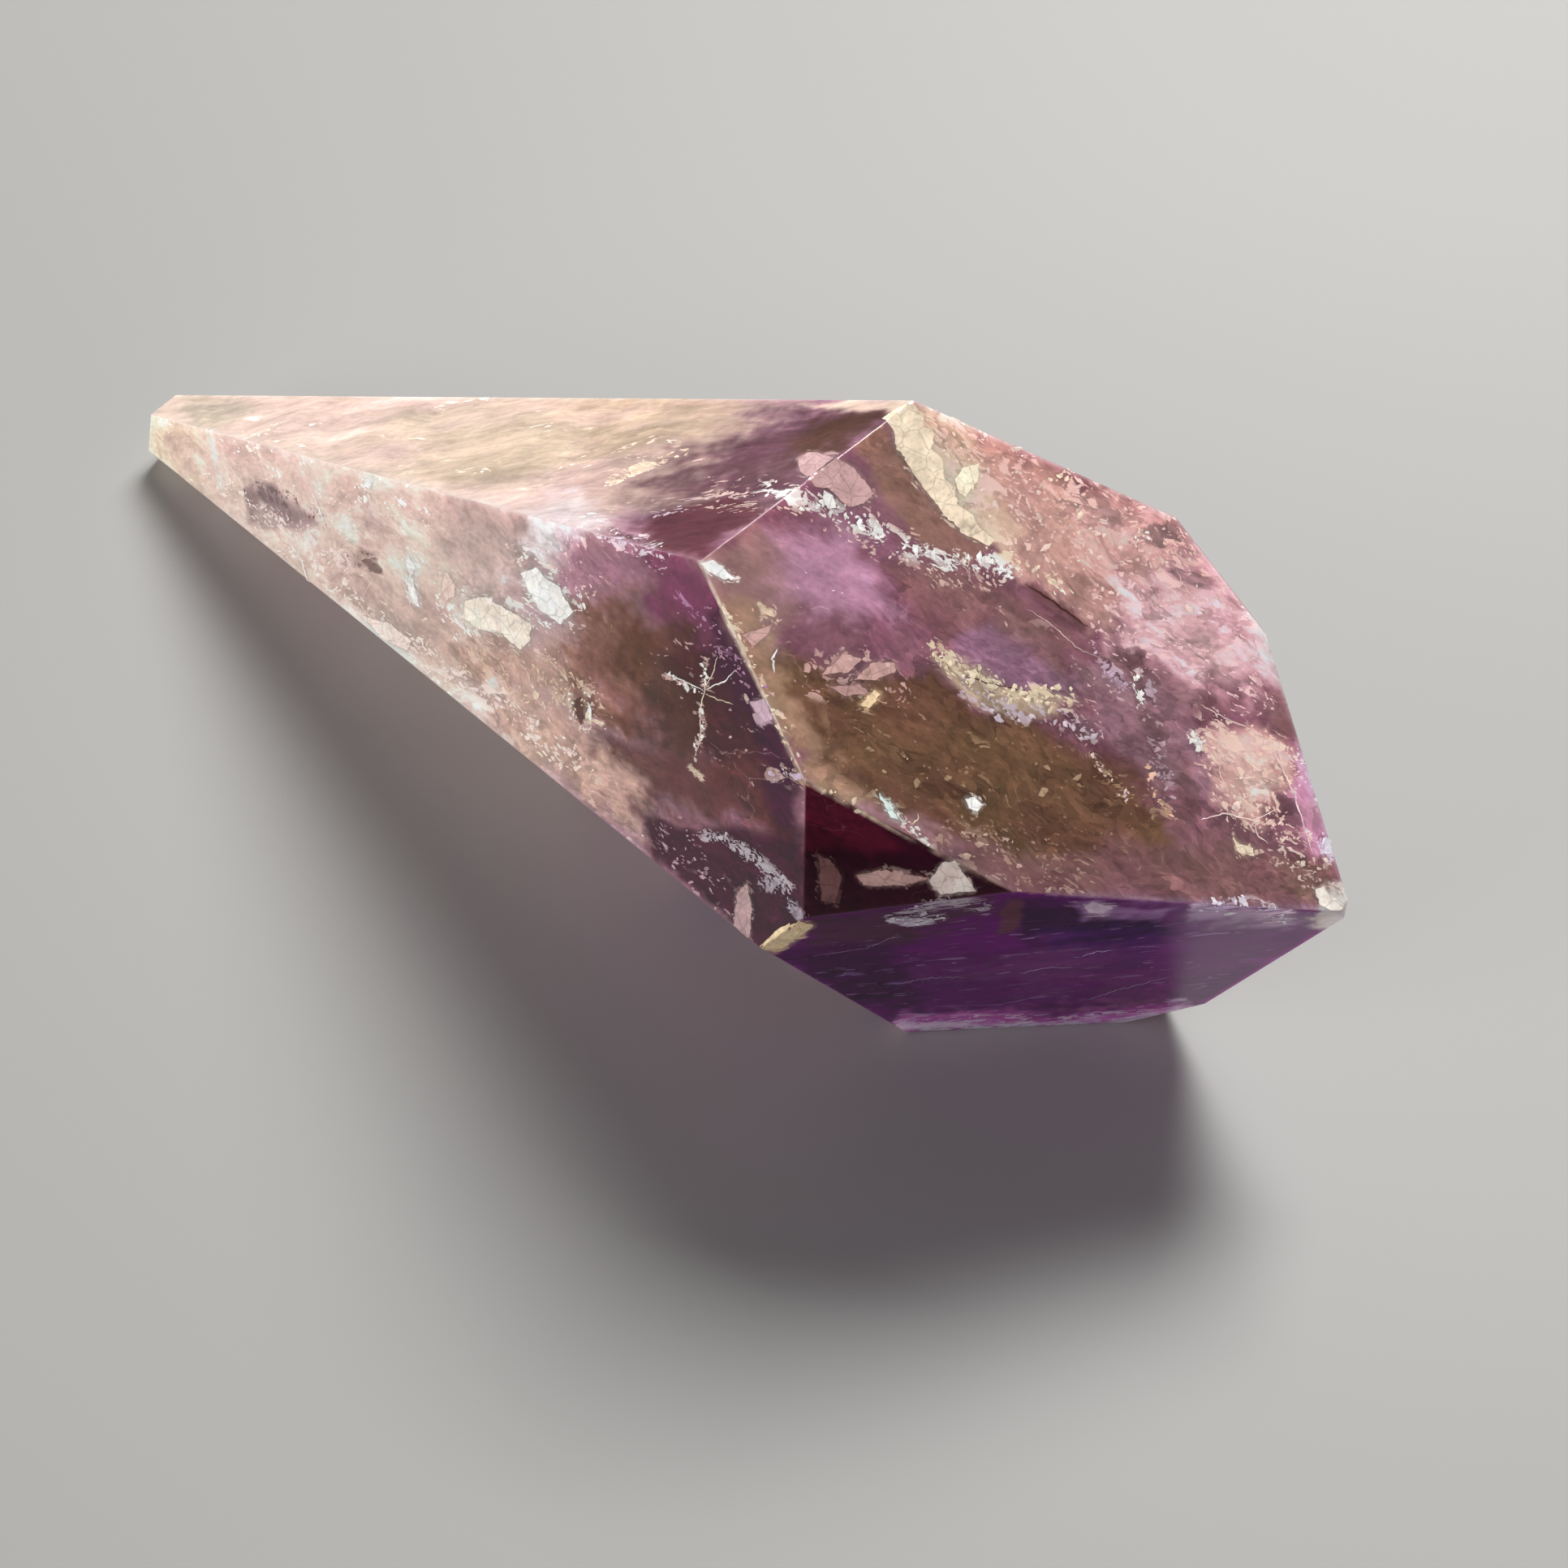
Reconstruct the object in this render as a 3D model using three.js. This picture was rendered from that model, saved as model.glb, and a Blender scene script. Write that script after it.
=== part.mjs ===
// A polished amethyst point: one quartz crystal, ground to flat faces and lying on its underside.
// Millimetres. +Z is up, +X runs along the crystal to its point and +Y is the back.
// The origin is on the surface it lies on, under the middle of its outline.
import * as THREE from "three";

// Driving dimensions
const LENGTH = 105; // from the cut end to the sharp point, before it was worn
const AXIS_CLIMB = 12; // degrees by which the axis climbs towards the point
const HEART_HEIGHT = 17; // of the heart, the point on the axis from which reaches are measured
const POINT_WEAR = 0.6; // taken off the sharp point, along the axis

// A face is a flat cut across the crystal. Turn is the way that it looks, in degrees about the axis:
// 0 is the front, 90 up and 180 the back. Lean tips it towards the point, or away where negative.
// Reach is its distance from the heart in millimetres.
const FACES = {
  // six long sides, which widen from the cut end
  topSide: { turn: 94, lean: -15.5, reach: 22 },
  frontSide: { turn: 21.5, lean: -13, reach: 17.8 },
  lowFrontSide: { turn: -28, lean: -12, reach: 16.7 },
  underside: { turn: -90, lean: -AXIS_CLIMB, reach: HEART_HEIGHT },
  lowBackSide: { turn: -140, lean: -13, reach: 18 },
  backSide: { turn: 159, lean: -10.5, reach: 16.2 },
  // six short faces, which close in on the point
  topPyramid: { turn: 83.5, lean: 36.5, reach: 16.6 },
  frontPyramid: { turn: 24.5, lean: 30.5, reach: 21 },
  lowFrontPyramid: { turn: -24, lean: 33, reach: 17.7 },
  underPyramid: { turn: -84, lean: 27, reach: 26.8 },
  lowBackPyramid: { turn: -154, lean: 24.5, reach: 18.1 },
  backPyramid: { turn: 153, lean: 30, reach: 24.1 },
};
const POINT_FACES = ["topPyramid", "lowFrontPyramid", "lowBackPyramid"]; // those that meet at the point
const CORNER_TOLERANCE = 1e-6;

const radians = THREE.MathUtils.degToRad;
const climb = radians(AXIS_CLIMB);
const axis = new THREE.Vector3(Math.cos(climb), 0, Math.sin(climb));
const front = new THREE.Vector3(0, -1, 0);
const above = new THREE.Vector3(-Math.sin(climb), 0, Math.cos(climb)); // square to the other two

// The plane of a face, as an outward normal and its distance from the heart
function cut({ turn, lean, reach }) {
  const outward = front
    .clone()
    .multiplyScalar(Math.cos(radians(turn)))
    .addScaledVector(above, Math.sin(radians(turn)));
  const normal = outward
    .multiplyScalar(Math.cos(radians(lean)))
    .addScaledVector(axis, Math.sin(radians(lean)));
  return { normal, reach };
}

// The corner where three faces meet, or null if they share none
function cornerOf(a, b, c) {
  const bc = b.normal.clone().cross(c.normal);
  const slant = a.normal.dot(bc);
  if (Math.abs(slant) < CORNER_TOLERANCE) return null;
  const ca = c.normal.clone().cross(a.normal);
  const ab = a.normal.clone().cross(b.normal);
  return bc
    .multiplyScalar(a.reach)
    .addScaledVector(ca, b.reach)
    .addScaledVector(ab, c.reach)
    .divideScalar(slant);
}

// Every corner of the solid that the cuts leave, each with the faces that meet there
function cornersOf(cuts) {
  const corners = [];
  for (let i = 0; i < cuts.length; i++) {
    for (let j = i + 1; j < cuts.length; j++) {
      for (let k = j + 1; k < cuts.length; k++) {
        const at = cornerOf(cuts[i], cuts[j], cuts[k]);
        if (!at) continue;
        const kept = cuts.every((face) => face.normal.dot(at) <= face.reach + CORNER_TOLERANCE);
        if (kept) corners.push({ at, faces: [i, j, k] });
      }
    }
  }
  return corners;
}

// The indices of one face's corners, in order round its outward normal
function outlineOf(face, index, corners) {
  const ring = corners.map((corner, i) => i).filter((i) => corners[i].faces.includes(index));
  const middle = new THREE.Vector3();
  ring.forEach((i) => middle.addScaledVector(corners[i].at, 1 / ring.length));
  const across = corners[ring[0]].at.clone().sub(middle).normalize();
  const along = face.normal.clone().cross(across);
  const angleOf = (i) => {
    const arm = corners[i].at.clone().sub(middle);
    return Math.atan2(arm.dot(along), arm.dot(across));
  };
  return ring.sort((i, j) => angleOf(i) - angleOf(j));
}

// The crystal as one closed solid, with its origin at the heart
function crystalGeometry() {
  const cuts = Object.values(FACES).map(cut);
  const point = cornerOf(...POINT_FACES.map((name) => cut(FACES[name])));
  cuts.push({ normal: new THREE.Vector3(-1, 0, 0), reach: LENGTH - point.x }); // the cut end
  cuts.push({ normal: axis, reach: axis.dot(point) - POINT_WEAR }); // the worn point
  const corners = cornersOf(cuts);
  const triangles = cuts.flatMap((face, index) => {
    const ring = outlineOf(face, index, corners);
    return ring.slice(2).flatMap((i, n) => [ring[0], ring[n + 1], i]);
  });
  const geometry = new THREE.BufferGeometry();
  geometry.setAttribute(
    "position",
    new THREE.Float32BufferAttribute(
      corners.flatMap((corner) => corner.at.toArray()),
      3,
    ),
  );
  geometry.setIndex(triangles);
  return geometry;
}

// Moves the solid so that it lies on the ground with the origin under its middle
function setDown(geometry) {
  geometry.computeBoundingBox();
  const { min, max } = geometry.boundingBox;
  return geometry.translate(-(min.x + max.x) / 2, -(min.y + max.y) / 2, -min.z);
}

const amethyst = new THREE.MeshStandardMaterial({
  color: new THREE.Color().setRGB(0.48, 0.3, 0.46, THREE.SRGBColorSpace),
  roughness: 0.12,
  metalness: 0,
  flatShading: true,
});

const crystal = new THREE.Mesh(setDown(crystalGeometry()), amethyst);
crystal.name = "amethyst_crystal";

const amethystPoint = new THREE.Group();
amethystPoint.add(crystal);

export default amethystPoint;
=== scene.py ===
# A polished amethyst point on a pale floor. Lengths in the constants are millimetres unless they say
# otherwise, and pixels are those of the reference photograph, which is 1932 pixels square.
import math
from collections import namedtuple

import bmesh
import bpy
import numpy as np
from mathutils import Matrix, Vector, geometry


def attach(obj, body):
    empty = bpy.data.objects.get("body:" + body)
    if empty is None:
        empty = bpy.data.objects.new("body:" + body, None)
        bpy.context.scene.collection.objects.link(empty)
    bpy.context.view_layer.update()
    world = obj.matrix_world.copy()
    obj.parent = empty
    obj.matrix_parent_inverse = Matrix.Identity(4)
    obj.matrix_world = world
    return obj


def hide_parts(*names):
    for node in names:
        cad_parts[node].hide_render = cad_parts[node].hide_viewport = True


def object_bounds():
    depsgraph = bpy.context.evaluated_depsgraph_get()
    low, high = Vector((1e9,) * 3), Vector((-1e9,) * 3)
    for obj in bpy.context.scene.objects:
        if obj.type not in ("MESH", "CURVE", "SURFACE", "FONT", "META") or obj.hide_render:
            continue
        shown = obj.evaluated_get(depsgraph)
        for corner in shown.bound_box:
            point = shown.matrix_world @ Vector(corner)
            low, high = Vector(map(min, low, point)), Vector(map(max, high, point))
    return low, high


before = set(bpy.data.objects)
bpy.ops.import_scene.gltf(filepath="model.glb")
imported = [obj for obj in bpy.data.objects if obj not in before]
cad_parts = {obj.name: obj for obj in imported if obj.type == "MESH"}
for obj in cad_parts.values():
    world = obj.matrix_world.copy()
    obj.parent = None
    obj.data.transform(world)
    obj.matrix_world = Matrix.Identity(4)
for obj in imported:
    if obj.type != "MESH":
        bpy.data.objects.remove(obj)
cad_low, cad_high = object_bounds()

MM = 0.001
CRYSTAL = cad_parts["amethyst_crystal"]

# Camera
PHOTO_SIDE = 1932
FIELD_OF_VIEW = 30  # degrees
CAMERA_AZIMUTH = 35.4
CAMERA_ELEVATION = 54
CAMERA_DISTANCE = 201
CAMERA_AIM = (14.7, -6.6, 15)
SENSOR_WIDTH = 36
CLIP_START = 0.01  # metres

# Shape of the polished crystal
EDGE_ROUNDING = 0.15
EDGE_STEPS = 3
EDGE_PROFILE = 0.5  # a quarter of a circle
SEEN_MESH_EDGE = 0.29  # on the facets that the photograph shows
HIDDEN_MESH_EDGE = 0.45
REFRACTIVE_INDEX = 1.544
MIRROR_LEVEL = 0.28  # how strongly the milky part mirrors, where 0.5 is what its refractive index gives
RISE = 0.008  # of a crack that reaches the polished face, so that it isn't level with it
CHIP_RISE = 2.5 * RISE  # the most by which a chip stands out
PUSHES = 5  # turns in which places are moved into the crystal, past one face after the other
SAME_WAY = 0.9999  # the least cosine between the normals of one flat face
FLAT_ANGLE = math.radians(1)  # the most by which the triangles of one flat face turn
TOUCH = 1e-6  # metres, the gap up to which places are the same
WITHIN_OUTLINE = 1  # the kind of triangulation that keeps to its outline
FACET_GAP = 1e-9  # metres, the gap up to which corners of a triangulation are the same
PLATE_GAP = 1e-6  # pixels

# Colours, linear
WHITE = (0.97, 0.93, 0.88)
CREAM = (0.88, 0.72, 0.54)
GOLD_CREAM = (0.92, 0.68, 0.42)
BEIGE = (0.74, 0.56, 0.42)
MILK_ROSE = (0.84, 0.63, 0.55)
BLUE_WHITE = (0.80, 0.70, 0.76)
TIP_WHITE = (0.86, 0.80, 0.74)
MAUVE_GREY = (0.56, 0.42, 0.38)
PINK_LILAC = (0.78, 0.50, 0.56)
ROSE = (0.60, 0.36, 0.33)
DUSTY_ROSE = (0.48, 0.28, 0.26)
LILAC_GLOW = (0.54, 0.30, 0.41)
LILAC = (0.42, 0.23, 0.30)
MAUVE = (0.27, 0.115, 0.155)
BROWN = (0.28, 0.15, 0.095)
OLIVE = (0.17, 0.085, 0.04)
UMBER = (0.07, 0.025, 0.012)
VIOLET = (0.09, 0.010, 0.13)

# Noise by name: how many millimetres its coarsest cells are across, its octaves and its seed
NOISES = {
    "lines on plates": (1.6, 4, 32),
    "mottle of plates": (1.5, 4, 31),
    "waves of veils": (14, 3, 41),
    "thickness of veils": (6, 4, 43),
    "drift along the crystal": (18, 4, 3),
    "patches": (13, 5, 0),
    "fine patches": (3, 4, 5),
    "smoke": (9, 5, 91),
    "fine smoke": (2.5, 4, 96),
    "waves of the flow": (9, 3, 201),
    "wander of borders": (3, 5, 11),
    "fine wander of borders": (1.1, 3, 13),
    "broad wisps": (2.6, 5, 21),
    "fine wisps": (0.8, 4, 27),
    "swirls": (5, 5, 23),
    "hues": (3, 4, 28),
    "gaps in lines": (0.8, 3, 38),
    "winding strings": (16, 4, 61),
    "gaps in strings": (9, 2, 66),
    "gaps in cracks": (1.3, 4, 34),
    "strewn cracks": (4, 3, 36),
    "edge of the frost": (0.8, 3, 37),
    "shattered places": (10, 3, 39),
    "crackled places": (7, 3, 40),
}


def camera_axes():
    """The camera's right, up and back."""
    azimuth = math.radians(CAMERA_AZIMUTH)
    elevation = math.radians(CAMERA_ELEVATION)
    level = math.cos(elevation)
    back = Vector((math.sin(azimuth) * level, -math.cos(azimuth) * level, math.sin(elevation)))
    right = Vector((math.cos(azimuth), math.sin(azimuth), 0))
    return right, back.cross(right), back


RIGHT, UP, BACK = camera_axes()
EYE = (Vector(CAMERA_AIM) + BACK * CAMERA_DISTANCE) * MM
FOCAL_PIXELS = PHOTO_SIDE / 2 / math.tan(math.radians(FIELD_OF_VIEW) / 2)


def make_camera():
    """The camera that the photograph was taken with."""
    data = bpy.data.cameras.new("camera")
    data.sensor_width = SENSOR_WIDTH
    data.lens = SENSOR_WIDTH / 2 / math.tan(math.radians(FIELD_OF_VIEW) / 2)
    data.clip_start = CLIP_START
    camera = bpy.data.objects.new("camera", data)
    camera.location = EYE
    camera.rotation_mode = "QUATERNION"
    camera.rotation_quaternion = (-BACK).to_track_quat("-Z", "Y")
    bpy.context.scene.collection.objects.link(camera)
    bpy.context.scene.camera = camera


def to_photo(points):
    """The pixels where points, rows of metres, show in the photograph."""
    seen = np.asarray(points) - np.array(EYE)
    depth = -(seen @ np.array(BACK))
    x = PHOTO_SIDE / 2 + FOCAL_PIXELS * (seen @ np.array(RIGHT)) / depth
    y = PHOTO_SIDE / 2 - FOCAL_PIXELS * (seen @ np.array(UP)) / depth
    return np.stack([x, y], -1)


def fade(value, low, high):
    """0 where value is at low, 1 at high, and smooth between them."""
    t = np.clip((value - low) / (high - low), 0, 1)
    return t * t * (3 - 2 * t)


def unit(rows):
    """Rows scaled to length 1."""
    return rows / np.linalg.norm(rows, axis=1)[:, None]


DIRECTIONS = unit(np.random.default_rng(5).normal(size=(1024, 3)))
CELL_KEYS = (73856093, 19349663, 83492791)  # large primes, one to an axis, which tell the cells apart
SEED_KEY = 2654435761
RIPPLE_GAIN = 1.6
OCTAVE_SHIFT = 17.3  # cells between one octave and the next, so that their grids don't line up


def ripple(points, seed):
    """Smooth random values from about -1 to 1, one cell to a unit."""
    cell = np.floor(points).astype(np.int64)
    rest = points - cell
    ease = rest**3 * (rest * (rest * 6 - 15) + 10)
    total = np.zeros(len(points))
    for corner in np.ndindex(2, 2, 2):
        key = np.bitwise_xor.reduce((cell + corner) * CELL_KEYS, axis=1) ^ (seed * SEED_KEY)
        pull = (DIRECTIONS[key % len(DIRECTIONS)] * (rest - corner)).sum(-1)
        share = np.where(corner, ease, 1 - ease).prod(-1)
        total += share * pull
    return total * RIPPLE_GAIN


def cloud(places, name, shift=0):
    """Fractal noise of one name, mostly between -1 and 1. Shift gives it another pattern."""
    size, octaves, seed = NOISES[name]
    at = np.asarray(places) / MM / size
    total, weight = 0, 1
    for octave in range(octaves):
        total = total + weight * ripple(at * 2**octave + OCTAVE_SHIFT * octave, seed + shift + octave)
        weight *= 0.5
    return total


# Shape


def split_edges(bm, longest):
    """Puts evenly spaced corners on every edge that is longer than longest."""
    for edge in bm.edges[:]:
        first, last = edge.verts
        begin, finish = first.co.copy(), last.co.copy()
        parts = math.ceil(edge.calc_length() / longest)
        for part in range(1, parts):
            _, corner = bmesh.utils.edge_split(edge, first, 0.5)
            corner.co = begin.lerp(finish, part / parts)
            edge = next(e for e in corner.link_edges if last in e.verts)
            first = corner


def grid_inside(ring, spacing):
    """Points of an even triangular grid inside a convex outline of rows of x and y."""
    step = np.roll(ring, -1, 0) - ring
    inward = np.stack([-step[:, 1], step[:, 0]], -1) / np.linalg.norm(step, axis=1)[:, None]
    low, high = ring.min(0), ring.max(0)
    row_height = spacing * math.sqrt(3) / 2
    rows, columns = np.mgrid[0 : (high[1] - low[1]) / row_height, 0 : (high[0] - low[0]) / spacing]
    grid = np.stack([low[0] + (columns + rows % 2 / 2) * spacing, low[1] + rows * row_height], -1)
    grid = grid.reshape(-1, 2)
    depth = ((grid[:, None] - ring) * inward).sum(-1).min(1)
    return grid[depth > spacing / 2]


def fill_facet(bm, face, spacing):
    """Replaces a flat face with even triangles."""
    corners = list(face.verts)
    start = corners[0].co.copy()
    across = (corners[1].co - start).normalized()
    along = face.normal.cross(across)
    ring = np.array([((c.co - start).dot(across), (c.co - start).dot(along)) for c in corners])
    points = [Vector(p) for p in np.vstack([ring, grid_inside(ring, spacing)])]
    count = len(corners)
    loop = [(i, (i + 1) % count) for i in range(count)]
    filled = geometry.delaunay_2d_cdt(points, loop, [], WITHIN_OUTLINE, FACET_GAP)
    points, _, triangles, sources, _, _ = filled
    for point, source in zip(points[:], sources):
        if not source or source[0] >= count:
            corners.append(bm.verts.new(start + across * point.x + along * point.y))
    inner = iter(corners[count:])
    placed = [corners[s[0]] if s and s[0] < count else next(inner) for s in sources]
    for triangle in triangles:
        bm.faces.new([placed[i] for i in triangle])
    bm.faces.remove(face)


def facets_of(mesh):
    """Each flat face of a convex mesh, as rows of normals and their distances from the origin."""
    normals, reaches = [], []
    for polygon in mesh.polygons:
        normal = np.array(polygon.normal)
        if all(normal @ known < SAME_WAY for known in normals):
            normals.append(normal)
            reaches.append(normal @ np.array(mesh.vertices[polygon.vertices[0]].co))
    return np.array(normals), np.array(reaches)


FACET_NORMALS, FACET_REACHES = facets_of(CRYSTAL.data)


def polished_mesh():
    """The crystal with softened edges, as fine triangles, and the facet on which each corner lies."""
    bm = bmesh.new()
    bm.from_mesh(CRYSTAL.data)
    bmesh.ops.remove_doubles(bm, verts=bm.verts, dist=TOUCH)
    bmesh.ops.dissolve_limit(bm, angle_limit=FLAT_ANGLE, verts=bm.verts, edges=bm.edges)
    bmesh.ops.bevel(
        bm,
        geom=bm.edges[:],
        offset=EDGE_ROUNDING * MM,
        segments=EDGE_STEPS,
        profile=EDGE_PROFILE,
        affect="EDGES",
        clamp_overlap=True,
    )
    bm.normal_update()
    split_edges(bm, SEEN_MESH_EDGE * MM)
    for face in [f for f in bm.faces if len(f.verts) > 3]:
        seen = face.normal.dot(Vector(EYE) - face.verts[0].co) > 0
        fill_facet(bm, face, (SEEN_MESH_EDGE if seen else HIDDEN_MESH_EDGE) * MM)
    bm.normal_update()
    mesh = bpy.data.meshes.new("polished_crystal")
    bm.to_mesh(mesh)
    bm.free()
    mesh.shade_smooth()
    places = positions(mesh)
    above = places @ FACET_NORMALS.T - FACET_REACHES
    facet = above.argmax(1)
    flat = above.max(1) > -TOUCH
    normals = np.array([v.normal for v in mesh.vertices])
    normals[flat] = FACET_NORMALS[facet[flat]]
    mesh.normals_split_custom_set_from_vertices(normals.tolist())
    return mesh, facet


def positions(mesh):
    """The corners of a mesh as rows of metres."""
    flat = np.empty(len(mesh.vertices) * 3, np.float32)
    mesh.vertices.foreach_get("co", flat)
    return flat.reshape(-1, 3).astype(float)


# Places in the photograph


def sight(pixels):
    """The directions in which the camera looks through pixels."""
    pixels = np.asarray(pixels, float)
    across = (pixels[:, :1] - PHOTO_SIDE / 2) / FOCAL_PIXELS
    rise = (PHOTO_SIDE / 2 - pixels[:, 1:]) / FOCAL_PIXELS
    way = across * np.array(RIGHT) + rise * np.array(UP) - np.array(BACK)
    return unit(way)


def facet_distances(way):
    """How far along each direction the camera meets the planes of the facets that look at it."""
    facing = way @ FACET_NORMALS.T
    gap = FACET_REACHES - FACET_NORMALS @ np.array(EYE)
    return np.where(facing < 0, gap / facing, -np.inf)


def seen_facet(outline):
    """The index of the facet that shows at the middle of an outline of pixels."""
    middle = np.mean(outline, 0)[None]
    return int(facet_distances(sight(middle)).argmax())


def keep_inside(places, margin):
    """Moves places so that they lie in the crystal, at least margin millimetres from its faces."""
    for _ in range(PUSHES):
        above = places @ FACET_NORMALS.T - FACET_REACHES + margin * MM
        push = np.clip(above.max(1), 0, None)
        places = places - FACET_NORMALS[above.argmax(1)] * push[:, None]
    return np.clip(places, np.array(cad_low), np.array(cad_high))


def inside(pixels, depth, facet, margin):
    """Places behind one facet that show at pixels, with the bend of light, depth millimetres in."""
    way = sight(pixels)
    normal = FACET_NORMALS[facet]
    start = np.array(EYE) + way * facet_distances(way)[:, facet, None]
    fall = -(way @ normal)[:, None]
    bend = np.sqrt(1 - (1 - fall**2) / REFRACTIVE_INDEX**2)
    inward = way / REFRACTIVE_INDEX + normal * (fall / REFRACTIVE_INDEX - bend)
    return keep_inside(start + inward * np.reshape(depth, (-1, 1)) * MM, margin)


def on_face(pixels, facet):
    """Places that show at pixels, just proud of one facet."""
    return inside(pixels, -RISE, facet, -2 * RISE)


def from_segment(pixels, start, end):
    """How many pixels each pixel is away from a straight line between two."""
    step = end - start
    share = np.clip(((pixels - start) @ step) / (step @ step), 0, 1)
    return np.linalg.norm(pixels - start - share[:, None] * step, axis=1)


def from_path(pixels, path):
    """How many pixels each pixel is away from a path."""
    path = np.array(path, float)
    return np.min([from_segment(pixels, a, b) for a, b in zip(path, path[1:])], axis=0)


def within(pixels, outline):
    """How many pixels deep each pixel lies inside an outline, and below 0 outside it."""
    ring = np.array(outline, float)
    odd = np.zeros(len(pixels), bool)
    x, y = pixels.T
    for (ax, ay), (bx, by) in zip(ring, np.roll(ring, -1, 0)):
        if ay != by:
            odd ^= ((ay > y) != (by > y)) & (x < ax + (y - ay) * (bx - ax) / (by - ay))
    nearest = from_path(pixels, np.vstack([ring, ring[:1]]))
    return np.where(odd, nearest, -nearest)


# Zones of colour, each on the one facet where its outline of pixels shows. Softness is how many pixels
# its border takes to fade and wander.
Zone = namedtuple("Zone", "outline colour clearness strength softness")

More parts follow.
